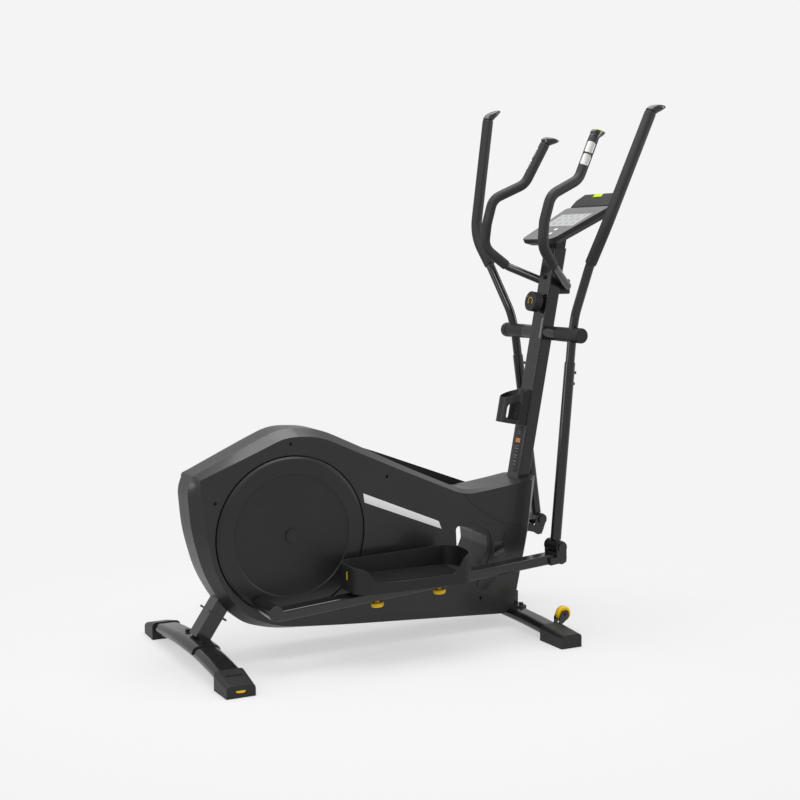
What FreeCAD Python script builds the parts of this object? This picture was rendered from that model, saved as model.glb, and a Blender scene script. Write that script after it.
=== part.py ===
import FreeCAD, Part
import math
import os

os.makedirs("parts", exist_ok=True)
V = FreeCAD.Vector
YAX = V(0, 1, 0)

# ---- driving dimensions (mm). x runs forward from the rear foot's back edge, y to the user's left ----
ORIGIN_X = 723.06       # the row's origin on that x scale: the middle of the machine's length
CRANK = (304.0, 367.0)  # crank axle, x and z
CRANK_R = 217.0
PIN_ANGLE = 29.5        # right crank pin, degrees behind straight down
DISC_R = 233.0
DISC_FACE = 92.0
BOSS_FACE = 104.0
PIVOT = (1226.0, 936.0)
LOW_JOINT = (1246.0, 272.0)
SWING = 8.07            # each arm's turn from the middle in the stored pose
ARM_LENGTH = 964.0
ARM_Y = 200.0
MAST_FOOT = (1110.0, 445.0)
MAST_SLOPE = 0.1828
MAST_DEPTH = 44.7
MAST_WIDTH = 70.0
CASE_HALF = 85.0
CASE_FLAT = 45.0
WALL = 3.0
SEAM_GAP = 0.9
FLYWHEEL = (700.0, 290.0)
FLYWHEEL_R = 120.0
IDLER = (520.0, 236.4)
PULLEY_R = 130.0
FLY_PULLEY_R = 22.0


def save(name, shape):
    moved = shape.copy()
    moved.translate(V(-ORIGIN_X, 0, 0))
    moved.exportStep("parts/%s.step" % name)


def cyl(centre, axis, radius, length):
    return Part.makeCylinder(radius, length, centre, axis)


def ycyl(x, z, radius, y0, y1):
    return Part.makeCylinder(radius, abs(y1 - y0), V(x, min(y0, y1), z), YAX)


def yring(x, z, outer, inner, y0, y1):
    return ycyl(x, z, outer, y0, y1).cut(ycyl(x, z, inner, min(y0, y1) - 1, max(y0, y1) + 1))


def box(x0, x1, y0, y1, z0, z1):
    return Part.makeBox(x1 - x0, y1 - y0, z1 - z0, V(x0, y0, z0))


def mirror(shape):
    return shape.mirror(V(0, 0, 0), YAX)


def both(shape):
    return [shape, mirror(shape)]


def shifted(shape, x, y, z):
    moved = shape.copy()
    moved.translate(V(x, y, z))
    return moved


def fuse(shapes):
    if len(shapes) == 1:
        return shapes[0]
    return shapes[0].fuse(shapes[1:]).removeSplitter()


def group(shapes):
    return Part.makeCompound(shapes)


def corner(before, at, after, radius):
    # trims a corner back to a tangent arc and returns its start, middle and end
    a = before.sub(at)
    b = after.sub(at)
    half = a.getAngle(b) / 2
    if half > math.pi / 2 - 0.0015:
        return None
    reach = min(radius / math.tan(half), a.Length * 0.46, b.Length * 0.46)
    radius = reach * math.tan(half)
    ua = V(a).normalize()
    ub = V(b).normalize()
    middle = (ua + ub).normalize()
    centre = at + middle * (radius / math.sin(half))
    return at + ua * reach, centre - middle * radius, at + ub * reach


def path(points, radii):
    # an open run of straight lines joined by arcs
    edges = []
    last = points[0]
    for i in range(1, len(points) - 1):
        cut = corner(points[i - 1], points[i], points[i + 1], radii[i])
        if cut is None:
            continue
        edges.append(Part.makeLine(last, cut[0]))
        edges.append(Part.Arc(*cut).toShape())
        last = cut[2]
    edges.append(Part.makeLine(last, points[-1]))
    return Part.Wire(edges)


def loop(corners, y):
    # a closed outline in the plane y from (x, z, corner radius) triples
    n = len(corners)
    pts = [V(c[0], y, c[1]) for c in corners]
    cuts = [corner(pts[i - 1], pts[i], pts[(i + 1) % n], corners[i][2]) for i in range(n)]
    edges = []
    for i in range(n):
        nxt = cuts[(i + 1) % n]
        edges.append(Part.Arc(*cuts[i]).toShape())
        edges.append(Part.makeLine(cuts[i][2], nxt[0]))
    return Part.Wire(edges)


def prism(corners, y0, y1):
    return Part.Face(loop(corners, y0)).extrude(V(0, y1 - y0, 0))


def sweep(points, radii, section):
    spine = path(points, radii)
    shape = spine.makePipeShell([section], True, False)
    return shape


def ring_at(point, direction, radius):
    return Part.Wire([Part.makeCircle(radius, point, direction)])


def tube(points, radii, outer, inner=None):
    start = points[0]
    way = points[1].sub(points[0])
    body = sweep(points, radii, ring_at(start, way, outer))
    if inner:
        body = body.cut(sweep(points, radii, ring_at(start, way, inner)))
    return body


def grown(corners, by):
    # the same outline moved to the left of its own direction: inwards if it runs anticlockwise in x, z
    n = len(corners)
    out = []
    for i in range(n):
        x0, z0 = corners[i - 1][:2]
        x1, z1, r = corners[i]
        x2, z2 = corners[(i + 1) % n][:2]
        a = math.hypot(x1 - x0, z1 - z0)
        b = math.hypot(x2 - x1, z2 - z1)
        na = (-(z1 - z0) / a, (x1 - x0) / a)
        nb = (-(z2 - z1) / b, (x2 - x1) / b)
        k = by / (1 + na[0] * nb[0] + na[1] * nb[1])
        out.append((x1 + k * (na[0] + nb[0]), z1 + k * (na[1] + nb[1]), r))
    return out


def swung(shape, side):
    # right arm (side -1) stands forward at the top, left arm back
    turned = shape.copy()
    turned.rotate(V(PIVOT[0], 0, PIVOT[1]), YAX, -side * SWING)
    return turned


def turn(point, centre, degrees):
    a = math.radians(degrees)
    x = point[0] - centre[0]
    z = point[1] - centre[1]
    return centre[0] + x * math.cos(a) + z * math.sin(a), centre[1] - x * math.sin(a) + z * math.cos(a)


JOINT_R = turn(LOW_JOINT, PIVOT, SWING)
JOINT_L = turn(LOW_JOINT, PIVOT, -SWING)
A = math.radians(PIN_ANGLE)
PIN_R = (CRANK[0] - CRANK_R * math.sin(A), CRANK[1] - CRANK_R * math.cos(A))
PIN_L = (2 * CRANK[0] - PIN_R[0], 2 * CRANK[1] - PIN_R[1])
TILT_R = math.degrees(math.atan2(JOINT_R[1] - PIN_R[1], JOINT_R[0] - PIN_R[0]))
TILT_L = math.degrees(math.atan2(JOINT_L[1] - PIN_L[1], JOINT_L[0] - PIN_L[0]))


def to_left(shape):
    # carries a right pedal-arm piece over to the left arm's place
    moved = mirror(shape)
    moved.rotate(V(JOINT_R[0], 0, JOINT_R[1]), YAX, TILT_R - TILT_L)
    moved.translate(V(JOINT_L[0] - JOINT_R[0], 0, JOINT_L[1] - JOINT_R[1]))
    return moved


def mast_x(z):
    # the mast's user-facing face at a height
    return MAST_FOOT[0] + MAST_SLOPE * (z - MAST_FOOT[1])


LEAN = math.degrees(math.atan(MAST_SLOPE))


def on_mast(shape, z):
    # a shape drawn with its back on the plane x = 0 around z = 0 is put on the user-facing face
    moved = shape.copy()
    moved.rotate(V(0, 0, 0), YAX, LEAN)
    moved.translate(V(mast_x(z), 0, z))
    return moved


def leaning(half, z0, z1, front, back):
    # an upright of rectangular section that follows the mast's lean
    pts = [V(mast_x(z0) + front, 0, z0), V(mast_x(z0) + back, 0, z0),
           V(mast_x(z1) + back, 0, z1), V(mast_x(z1) + front, 0, z1)]
    face = Part.Face(Part.makePolygon(pts + pts[:1]))
    body = face.extrude(V(0, 2 * half, 0))
    body.translate(V(0, -half, 0))
    return body


# ---- feet ----
def flat_oval(x, y, z, wide, tall):
    r = tall / 2
    w = wide / 2 - r
    pts = [V(x - w, y, z + r), V(x + w, y, z + r), V(x + w, y, z - r), V(x - w, y, z - r)]
    edges = [Part.makeLine(pts[0], pts[1]), Part.Arc(pts[1], V(x + w + r, y, z), pts[2]).toShape(),
             Part.makeLine(pts[2], pts[3]), Part.Arc(pts[3], V(x - w - r, y, z), pts[0]).toShape()]
    return Part.Wire(edges)


def arched_bar(x, half, z_end, z_mid, wide, tall):
    sag = z_mid - z_end
    radius = (half * half + sag * sag) / (2 * sag)
    turned = math.asin(half / radius) / 2
    middle = V(x, radius * math.sin(turned), z_mid - radius + radius * math.cos(turned))
    spine = Part.Wire([Part.Arc(V(x, 0, z_mid), middle, V(x, half, z_end)).toShape()])
    side = spine.makePipeShell([flat_oval(x, 0, z_mid, wide, tall)], True, False)
    return side.fuse(mirror(side)).removeSplitter()


def arched_tube(x, half, z_end, z_mid, wide, tall):
    outer = arched_bar(x, half, z_end, z_mid, wide, tall)
    return outer.cut(arched_bar(x, half, z_end, z_mid, wide - 4, tall - 4))


def end_cap(x, y_in, y_out, wide, tall_in, tall_out):
    inner = [(x - wide / 2, -9, 6), (x + wide / 2, -9, 6), (x + wide / 2, tall_in, 14), (x - wide / 2, tall_in, 14)]
    w = wide - 6
    outer = [(x - w / 2, -9, 6), (x + w / 2, -9, 6), (x + w / 2, tall_out, 12), (x - w / 2, tall_out, 12)]
    cap = Part.makeLoft([loop(inner, -y_in), loop(outer, -y_out)], True, True)
    return cap.cut(box(x - 80, x + 80, -500, 0, -40, 0))


REAR_X = 33.0
FRONT_X = 1093.0


def rear_stabiliser():
    tube_body = arched_tube(REAR_X, 318, 29, 53, 78, 34)
    save("rear_stabiliser", tube_body)


def front_stabiliser():
    tube_body = arched_tube(FRONT_X, 322, 26, 38, 66, 34)
    save("front_stabiliser", tube_body)


DIAL_FOOT = (REAR_X, 352.0, 17.0)


def end_caps():
    rear_fill = arched_bar(REAR_X, 318, 29, 53, 78.4, 34.4)
    rear = end_cap(REAR_X, 282, 374, 90, 54, 34).cut(rear_fill)
    pocket = cyl(V(REAR_X, -DIAL_FOOT[1], 12.5), V(0, 0, 1), 27.0, 9.0)
    well = cyl(V(REAR_X, -DIAL_FOOT[1], 2.0), V(0, 0, 1), 6.0, 12.0)
    rear = rear.cut(pocket.fuse(well))
    front_fill = arched_bar(FRONT_X, 322, 26, 38, 66.4, 34.4)
    front = end_cap(FRONT_X, 268, 384, 78, 50, 42).cut(front_fill)
    save("end_caps", group(both(rear) + both(front)))


def levelling_dial(name, side):
    y = side * DIAL_FOOT[1]
    wheel = cyl(V(REAR_X, y, 14.0), V(0, 0, 1), 23.5, 6.0)
    stem = cyl(V(REAR_X, y, 3.0), V(0, 0, 1), 5.0, 11.5)
    save(name, wheel.fuse(stem))


WHEEL = (1150.0, 250.0, 70.0)


def wheel_brackets():
    plates = []
    for off in (-14.0, 14.0):
        pts = [(1128, 34, 3), (1150, 50, 8), (1164, 62, 8), (1160, 84, 8), (1138, 82, 8), (1127, 58, 5)]
        plates.append(prism(pts, -WHEEL[1] + off - 2, -WHEEL[1] + off + 2))
    pin = ycyl(WHEEL[0], WHEEL[2], 5.0, -WHEEL[1] - 20, -WHEEL[1] + 20)
    web = box(1122, 1130.6, -WHEEL[1] - 12, -WHEEL[1] + 12, 28, 43)
    one = fuse(plates + [pin, web]).cut(arched_bar(FRONT_X, 322, 26, 38, 66.4, 34.4))
    save("wheel_brackets", group(both(one)))


def transport_wheel(name, side):
    y = side * WHEEL[1]
    wheel = ycyl(WHEEL[0], WHEEL[2], 24.5, y - 10, y + 10)
    rims = [e for e in wheel.Edges if abs(e.Length - 2 * math.pi * 24.5) < 0.5]
    wheel = wheel.makeFillet(6.0, rims)
    wheel = wheel.cut(ycyl(WHEEL[0], WHEEL[2], 5.05, y - 11, y + 11))
    save(name, wheel)


# ---- main frame, inside the casing ----
POST_FOOT = (42.0, 71.0)
POST_WAY = (0.555, 0.832)


def bar_between(p, q, thick, half):
    # a flat-sided bar between two (x, z) points
    dx = q[0] - p[0]
    dz = q[1] - p[1]
    n = math.hypot(dx, dz)
    ux = -dz / n * thick / 2
    uz = dx / n * thick / 2
    pts = [V(p[0] + ux, -half, p[1] + uz), V(q[0] + ux, -half, q[1] + uz),
           V(q[0] - ux, -half, q[1] - uz), V(p[0] - ux, -half, p[1] - uz)]
    return Part.Face(Part.makePolygon(pts + pts[:1])).extrude(V(0, 2 * half, 0))


def hollow_bar(p, q, thick, half, wall):
    return bar_between(p, q, thick, half).cut(bar_between(p, q, thick - 2 * wall, half - wall))


def main_frame():
    top = (POST_FOOT[0] + 190 * POST_WAY[0], POST_FOOT[1] + 190 * POST_WAY[1])
    post = bar_between(POST_FOOT, top, 45, 30)
    plate = bar_between((POST_FOOT[0] + 80 * POST_WAY[0], POST_FOOT[1] + 80 * POST_WAY[1]),
                        (POST_FOOT[0] + 86 * POST_WAY[0], POST_FOOT[1] + 86 * POST_WAY[1]), 64, 38)
    tube_room = arched_bar(REAR_X, 318, 29, 53, 78.4, 34.4)
    shell = arched_bar(REAR_X, 318, 29, 53, 88, 44)
    saddle = shell.common(box(-20, 90, -92, 92, 50, 90)).cut(tube_room)
    post = post.cut(tube_room)
    beam = hollow_bar((158, 151), (1062, 92), 40, 30, 3)
    web = bar_between((108, 176), (170, 164), 16, 30)
    upright_a = box(CRANK[0] - 24, CRANK[0] + 24, 24, 30, 140, CRANK[1])
    upright = fuse([upright_a, ycyl(CRANK[0], CRANK[1], 24, 24, 30)])
    uprights = both(upright)
    shell_tube = ycyl(CRANK[0], CRANK[1], 26, -62, -24.0)
    shell_tube_l = ycyl(CRANK[0], CRANK[1], 26, 24.0, 62)
    brace = bar_between((150, 214), (CRANK[0] - 18, 330), 14, 30)
    brace = brace.cut(box(0, 400, -23.9, 23.9, 0, 600))
    fly_a = box(FLYWHEEL[0] - 16, FLYWHEEL[0] + 16, 24, 30, 110, FLYWHEEL[1])
    fly = fuse([fly_a, ycyl(FLYWHEEL[0], FLYWHEEL[1], 16, 24, 30)])
    idler = fuse([box(IDLER[0] - 10, IDLER[0] + 10, 24, 30, 120, IDLER[1]),
                  ycyl(IDLER[0], IDLER[1], 10, 24, 30)])
    foot = fuse([box(1064, 1120, -34, 34, 55.0, 100),
                 box(1060, 1126, -75, 75, 48, 60)])
    foot = foot.cut(arched_bar(FRONT_X, 322, 26, 38, 66.4, 34.4))
    stub = leaning(MAST_WIDTH / 2 - 3.2, 90, 330, 3.2, MAST_DEPTH - 3.2)
    frame = fuse([post, plate, saddle, beam, web] + uprights + [shell_tube, shell_tube_l, brace]
                 + both(fly) + both(idler) + [foot, stub])
    frame = frame.cut(ycyl(CRANK[0], CRANK[1], 17.5, -70, 70))
    frame = frame.cut(ycyl(FLYWHEEL[0], FLYWHEEL[1], 6.0, -40, 40))
    frame = frame.cut(ycyl(IDLER[0], IDLER[1], 5.0, -40, 40))
    save("main_frame", frame)


def crank_bearings():
    rings = []
    for y in (-60, 46):
        rings.append(yring(CRANK[0], CRANK[1], 17.5, 10.05, y, y + 14))
    save("crank_bearings", group(rings))


def crank_axle():
    save("crank_axle", ycyl(CRANK[0], CRANK[1], 10.0, -80, 80))


def crank_arm(side):
    pin = PIN_R if side < 0 else PIN_L
    bar = bar_between(CRANK, pin, 25, 6)
    bar = shifted(bar, 0, side * 78, 0)
    hub = ycyl(CRANK[0], CRANK[1], 22, side * 72, side * 84)
    eye = ycyl(pin[0], pin[1], 12.5, side * 72, side * 100)
    pad = ycyl(pin[0], pin[1], 20, side * (DISC_FACE + 0.5), side * BOSS_FACE)
    arm = fuse([bar, hub, eye, pad])
    return arm.cut(ycyl(CRANK[0], CRANK[1], 10.0, -90, 90))


def crank_arms():
    save("crank_arms", group([crank_arm(-1), crank_arm(1)]))


def disc_profile():
    f = DISC_FACE
    return [(23.0, f - 6.0), (176, f - 6.0), (186, f - 2.8), (224, f - 2.8), (230, f - 7), (230, 70),
            (DISC_R, 70), (DISC_R, f - 5.5), (DISC_R - 5.5, f), (189, f), (179, f - 3.2), (23.0, f - 3.2)]


def crank_disc(side):
    wire = Part.makePolygon([V(CRANK[0], side * y, CRANK[1] + r) for r, y in disc_profile() + disc_profile()[:1]])
    disc = Part.Face(wire).revolve(V(CRANK[0], 0, CRANK[1]), YAX, 360)
    pin = PIN_R if side < 0 else PIN_L
    disc = disc.cut(ycyl(pin[0], pin[1], 12.5, side * 60, side * 110))
    cap = fuse([ycyl(CRANK[0], CRANK[1], 21.0, side * 84.0, side * (DISC_FACE + 1.5)),
                ycyl(CRANK[0], CRANK[1], 23.0, side * 84.0, side * (DISC_FACE - 2.0))])
    return [disc, cap]


def crank_discs():
    save("crank_discs", group(crank_disc(-1) + crank_disc(1)))


def drive_pulley():
    rim = yring(CRANK[0], CRANK[1], PULLEY_R, PULLEY_R - 8, -10, 10)
    web = yring(CRANK[0], CRANK[1], PULLEY_R - 7, 10.0, -2.5, 2.5)
    hub = yring(CRANK[0], CRANK[1], 20, 10.0, -12, 12)
    windows = []
    for k in range(6):
        a = math.radians(60 * k)
        windows.append(ycyl(CRANK[0] + 75 * math.cos(a), CRANK[1] + 75 * math.sin(a), 26, -6, 6))
    body = fuse([rim, web, hub])
    for w in windows:
        body = body.cut(w)
    save("drive_pulley", body)


def tangent_belt(p, rp, q, rq, thick, half):
    # an open belt around two wheels
    d = math.hypot(q[0] - p[0], q[1] - p[1])
    way = math.atan2(q[1] - p[1], q[0] - p[0])

    def band(extra):
        lean = math.acos((rp - rq) / d)
        a1 = way + lean
        a2 = way - lean
        r1 = rp + extra
        r2 = rq + extra
        c1 = [V(p[0] + r1 * math.cos(a), -half, p[1] + r1 * math.sin(a)) for a in (a1, way + math.pi, a2)]
        c2 = [V(q[0] + r2 * math.cos(a), -half, q[1] + r2 * math.sin(a)) for a in (a2, way, a1)]
        edges = [Part.Arc(*c1).toShape(), Part.makeLine(c1[2], c2[0]),
                 Part.Arc(*c2).toShape(), Part.makeLine(c2[2], c1[0])]
        return Part.Face(Part.Wire(edges)).extrude(V(0, 2 * half, 0))

    return band(0.3 + thick).cut(band(0.3))


def drive_belt():
    save("drive_belt", tangent_belt(CRANK, PULLEY_R, FLYWHEEL, FLY_PULLEY_R, 2.5, 8))


def flywheel_unit():
    # pulley between the fork plates, heavy wheel outside the left plate, one turning shaft through both
    f = FLYWHEEL
    shaft = ycyl(f[0], f[1], 5.95, -36, 62)
    pulley = ycyl(f[0], f[1], FLY_PULLEY_R, -11, 11)
    rim = yring(f[0], f[1], FLYWHEEL_R, 84, 34, 56)
    web = ycyl(f[0], f[1], 85, 41, 49)
    save("flywheel", fuse([shaft, pulley, rim, web]))


def idler_roller():
    shaft = ycyl(IDLER[0], IDLER[1], 4.95, -34, 34)
    roller = ycyl(IDLER[0], IDLER[1], 14, -11, 11)
    save("idler_roller", fuse([shaft, roller]))


def brake_unit():
    # curved magnet shoe over the flywheel's rim, and a small generator on the beam
    f = FLYWHEEL
    shoe = yring(f[0], f[1], FLYWHEEL_R + 22, FLYWHEEL_R + 8, 34, 56)
    shoe = shoe.common(box(f[0] - 150, f[0] - 40, 30, 60, f[1] - 20, f[1] + 150))
    link = bar_between((f[0] - 135, f[1] + 6), (f[0] - 150, 145), 12, 8)
    link = shifted(link, 0, 45, 0)
    stay = box(f[0] - 158, f[0] - 142, 30.0, 53, 124, 150)
    save("brake_unit", fuse([shoe, link, stay]))


# ---- casing ----
# middle outline, then the side face's outline, as (x, z, corner radius); same corners in both
MIDDLE = [(15, 556, 10), (-1, 512, 60), (9, 395, 150), (44, 268, 120), (98, 172, 60), (160, 112, 90),
          (255, 84, 80), (440, 70, 200), (1060, 36, 20), (1098, 72, 14), (1152, 312, 300), (1174, 479, 5),
          (1085, 465, 90), (1000, 452, 120), (905, 449, 110), (700, 537, 400), (520, 622, 200), (405, 674, 110),
          (285, 680, 120), (200, 643, 200)]
SIDE = [(22, 548, 10), (30, 508, 60), (37, 410, 150), (63, 285, 120), (112, 192, 60), (168, 136, 90),
        (262, 97, 80), (442, 80, 200), (1040, 45, 20), (1074, 78, 14), (1122, 312, 300), (1138, 472, 5),
        (1075, 462, 90), (985, 450, 120), (890, 440, 110), (690, 524, 400), (512, 602, 200), (398, 653.5, 110),
        (290, 658.5, 120), (205, 622, 200)]
WINDOW = [(857, 346, 12), (920, 334, 20), (968, 308, 22), (972, 268, 25), (944, 205, 30), (900, 176, 20),
          (866, 186, 14)]
SEAM = [(880, 500), (886, 449), (905, 420), (950, 386), (1021, 342), (1060, 333), (1230, 290), (1230, 560), (880, 560)]
SCREWS = [(302, 637), (616, 519), (68, 480), (464, 130), (947, 106)]


def flowing(corners):
    # opens each gentle bend up until its arc nearly meets the next
    out = []
    n = len(corners)
    for i in range(n):
        x, z, r = corners[i]
        ax, az = corners[i - 1][0] - x, corners[i - 1][1] - z
        bx, bz = corners[(i + 1) % n][0] - x, corners[(i + 1) % n][1] - z
        a = math.hypot(ax, az)
        b = math.hypot(bx, bz)
        bend = math.pi - math.acos((ax * bx + az * bz) / (a * b))
        if r >= 55 and math.degrees(bend) < 60:
            reach = 0.43 * min(a, b, 260)
            r = max(r, reach / math.tan(bend / 2))
        out.append((x, z, r))
    return out


def body_of(middle, side, half):
    core = prism(middle, -CASE_FLAT, CASE_FLAT)
    flank = Part.makeLoft([loop(middle, -CASE_FLAT), loop(side, -half)], True, True)
    return fuse([core, flank, mirror(flank)])


def casing_shells():
    crown = flowing(MIDDLE)
    flank = flowing(SIDE)
    solid = body_of(crown, flank, CASE_HALF)
    hollow = body_of(grown(crown, WALL), grown(flank, WALL), CASE_HALF - WALL)
    well = ycyl(CRANK[0], CRANK[1], DISC_R + 7, 62, 90)
    wells = fuse(both(well))
    hollow = hollow.cut(wells)
    window_wall = prism(grown(WINDOW, WALL), -90, 90)
    hollow = hollow.cut(window_wall)
    case = solid.cut(hollow)
    for side in (-1, 1):
        case = case.cut(ycyl(CRANK[0], CRANK[1], DISC_R + 4, side * 65, side * 95))
    case = case.cut(ycyl(CRANK[0], CRANK[1], 30, -95, 95))
    case = case.cut(prism(WINDOW, -95, 95))
    case = case.cut(leaning(MAST_WIDTH / 2 + 1.5, 330, 620, -1.5, MAST_DEPTH + 1.5))
    post = bar_between(POST_FOOT, (POST_FOOT[0] + 210 * POST_WAY[0], POST_FOOT[1] + 210 * POST_WAY[1]), 47, 31)
    case = case.cut(post)
    case = case.cut(box(1056, 1130, -76, 76, 30, 62)).cut(box(1060, 1124, -36, 36, 50, 101))
    for x, z in SCREWS:
        case = case.cut(ycyl(x, z, 5.0, -95, -60)).cut(ycyl(x, z, 5.0, 60, 95))
    front_tool = Part.Face(Part.makePolygon([V(x, -100, z) for x, z in SEAM + SEAM[:1]])).extrude(V(0, 200, 0))
    shroud = case.common(front_tool)
    wide_seam = grown([(x, z, 0) for x, z in SEAM], -SEAM_GAP)
    wide_tool = Part.Face(Part.makePolygon([V(x, -100, z) for x, z, r in wide_seam + wide_seam[:1]]))
    shells = case.cut(wide_tool.extrude(V(0, 200, 0)))
    right = shells.common(box(-50, 1300, -100, -SEAM_GAP / 2, 0, 800))
    left = shells.common(box(-50, 1300, SEAM_GAP / 2, 100, 0, 800))
    save("casing_right", right)
    save("casing_left", left)
    save("front_shroud", shroud)
    return right


def fasteners():
    pieces = []
    for x, z in SCREWS:
        for side in (-1, 1):
            pieces.append(ycyl(x, z, 4.0, side * 66, side * 80))
    for y in (-70, 70):
        pieces.append(cyl(V(REAR_X, y, 74.4), V(0, 0, 1), 8, 7))
        pieces.append(cyl(V(1114, y * 0.9, 60.0), V(0, 0, 1), 7, 7))
    back = on_mast(cyl(V(-5, 0, 0), V(1, 0, 0), 7.0, 5), 1116)
    pieces.append(back)
    for z in (1035, 1062):
        pieces.append(on_mast(cyl(V(MAST_DEPTH, 0, 0), V(1, 0, 0), 6.0, 5), z))
    save("fasteners", group(pieces))


def labels():
    stripe = [(537, 473, 2), (796, 366, 2), (806, 341, 2), (541, 445, 2)]
    pieces = []
    for side in (-1, 1):
        pieces.append(prism(stripe, side * CASE_HALF, side * (CASE_HALF + 0.6)))
    strip = box(-0.8, 0, -31, -23, -33, 33)
    pieces.append(on_mast(strip, 953))
    pieces.append(on_mast(box(-0.6, 0, -24, 24, -75, 75), 560))
    save("labels", group(pieces))


# ---- mast and pivot ----
MAST_TOP = 1208.0


def mast():
    outer = leaning(MAST_WIDTH / 2, 180, MAST_TOP, 0, MAST_DEPTH)
    edges = [e for e in outer.Edges if e.Length > 900]
    outer = outer.makeFillet(5.0, edges)
    inner = leaning(MAST_WIDTH / 2 - 3, 170, MAST_TOP + 10, 3, MAST_DEPTH - 3)
    body = outer.cut(inner)
    body = body.cut(ycyl(PIVOT[0], PIVOT[1], 23.0, -60, 60))
    save("mast", body)


def pivot_tube():
    sleeve = yring(PIVOT[0], PIVOT[1], 22.9, 12.1, -98, 98)
    shaft = ycyl(PIVOT[0], PIVOT[1], 12.0, -206, 206)
    washer = yring(PIVOT[0], PIVOT[1], 18, 11.5, -206, -203.2)
    save("pivot_tube", fuse([sleeve, shaft] + both(washer)))


def dial_and_seat():
    z = 1032
    dial = fuse([cyl(V(-40, 0, 0), V(1, 0, 0), 32.0, 28), cyl(V(-13, 0, 0), V(1, 0, 0), 18, 11)])
    grooves = []
    for k in range(24):
        a = math.radians(15 * k)
        grooves.append(cyl(V(-36, 34.0 * math.cos(a), 34.0 * math.sin(a)), V(1, 0, 0), 2.9, 30))
    dial = dial.cut(Part.makeCompound(grooves))
    save("tension_dial", on_mast(dial, z))


def bottle_cage():
    z = 696
    height = 118.0
    r = 40.0
    cx = -(r + 9)
    shell = cyl(V(cx, 0, -height / 2), V(0, 0, 1), r, height).cut(cyl(V(cx, 0, -height / 2 - 1), V(0, 0, 1),
                                                                      r - 3, height + 2))
    plate = box(-4, 0, -31, 31, -height / 2, height / 2)
    ribs = box(cx + 20, -3, -31, 31, -height / 2, height / 2).cut(
        cyl(V(cx, 0, -height), V(0, 0, 1), r - 3, 2 * height))
    floor_ring = cyl(V(cx, 0, -height / 2), V(0, 0, 1), r - 2, 4).cut(cyl(V(cx, 0, -height), V(0, 0, 1), r - 12, 200))
    cage = fuse([shell, plate, ribs, floor_ring])
    opening = prism([(-31, -45, 8), (16, -45, 8), (16, 22, 22), (-31, 4, 22)], -60, 60)
    cut_side = shifted(opening, cx + 2, 0, 0)
    sloped = prism([(cx - 60, 10, 1), (-4.1, 60, 1), (-4.1, 120, 1), (cx - 60, 120, 1)], -60, 60)
    cage = cage.cut(cut_side).cut(sloped)
    save("bottle_cage", on_mast(cage, z))


# ---- fixed handlebar ----
BAR_POINTS = [V(1319, 140, 1554), V(1252, 156, 1422), V(1139, 173, 1370), V(1116, 172.5, 1290), V(1108, 176, 1212),
              V(1175, 139, 1150), V(1297, 38, 1085)]
BAR_RADII = [0, 60, 55, 60, 55, 60, 24]
BAR_R = 13.0


def flip(p):
    return V(p.x, -p.y, p.z)


def fixed_handlebar():
    points = BAR_POINTS + [flip(p) for p in reversed(BAR_POINTS)]
    radii = BAR_RADII + list(reversed(BAR_RADII))
    save("fixed_handlebar", tube(points, radii, BAR_R, BAR_R - 2))


def fixed_grips():
    points = BAR_POINTS[:6]
    end = points[5]
    back = points[4]
    points = points[:5] + [back + (end - back) * 0.97]
    grip = tube(points, BAR_RADII[:6], 16.5).cut(tube(BAR_POINTS, BAR_RADII, BAR_R + 0.03))
    save("fixed_grips", group(both(grip)))


def bar_end(side):
    tip = BAR_POINTS[0]
    way = (BAR_POINTS[0] - BAR_POINTS[1]).normalize()
    return V(tip.x, side * tip.y, tip.z), V(way.x, side * way.y, way.z)


def fixed_cap(side):
    tip, way = bar_end(side)
    # a flared horn that leans forwards and inwards over the grip's end
    low = Part.Wire([Part.makeCircle(16.5, tip + way * 0.3, way)])
    mid_c = tip + way * 14 + V(4, 0, 0)
    mid = Part.Wire([Part.makeCircle(17.5, mid_c, way)])
    up = V(way.x * 0.4, way.y * 0.4, 1).normalize()
    top_e = Part.Ellipse(tip + way * 24 + V(12, -side * 4, 0), 30, 17)
    top_e.Axis = up
    top_e.XAxis = V(1, -side * 0.25, 0) - up * V(1, -side * 0.25, 0).dot(up)
    top = Part.Wire([top_e.toShape()])
    return Part.makeLoft([low, mid, top], True, False)


def fixed_caps():
    right = fixed_cap(-1)
    tip, way = bar_end(-1)
    up = V(way.x * 0.4, way.y * 0.4, 1).normalize()
    seat = cyl(tip + way * 24 + V(12, 4, 0) - up * 6, up, 14.8, 30)
    save("fixed_caps", group([right.cut(seat), fixed_cap(1)]))
    save("lime_button", cyl(tip + way * 24 + V(12, 4, 0) - up * 3, up, 14.4, 8.0))


def pulse_plates():
    # two curved plates on the rear of each grip's top section
    a = BAR_POINTS[0]
    b = BAR_POINTS[1]
    way = (b - a).normalize()
    plates = []
    ring = Part.makeCylinder(18.0, 200, a, way).cut(Part.makeCylinder(16.52, 210, a - way * 5, way))
    across = V(-0.6, 0.8, 0)
    across = (across - way * across.dot(way)).normalize()
    sideways = way.cross(across).normalize()
    for start in (22, 66):
        blank = Part.makePolygon([V(0, -13, 0), V(0, 13, 0), V(38, 13, 0), V(38, -13, 0), V(0, -13, 0)])
        tool = Part.Face(blank).extrude(V(0, 0, 30))
        upright = [e for e in tool.Edges if abs(e.Length - 30) < 0.01]
        tool = tool.makeFillet(6, upright)
        place = FreeCAD.Matrix(way.x, sideways.x, across.x, (a + way * start).x,
                               way.y, sideways.y, across.y, (a + way * start).y,
                               way.z, sideways.z, across.z, (a + way * start).z, 0, 0, 0, 1)
        tool = tool.transformGeometry(place)
        plates.append(ring.common(tool))
    save("pulse_plates", group([mirror(p) for p in plates] + plates))


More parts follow.
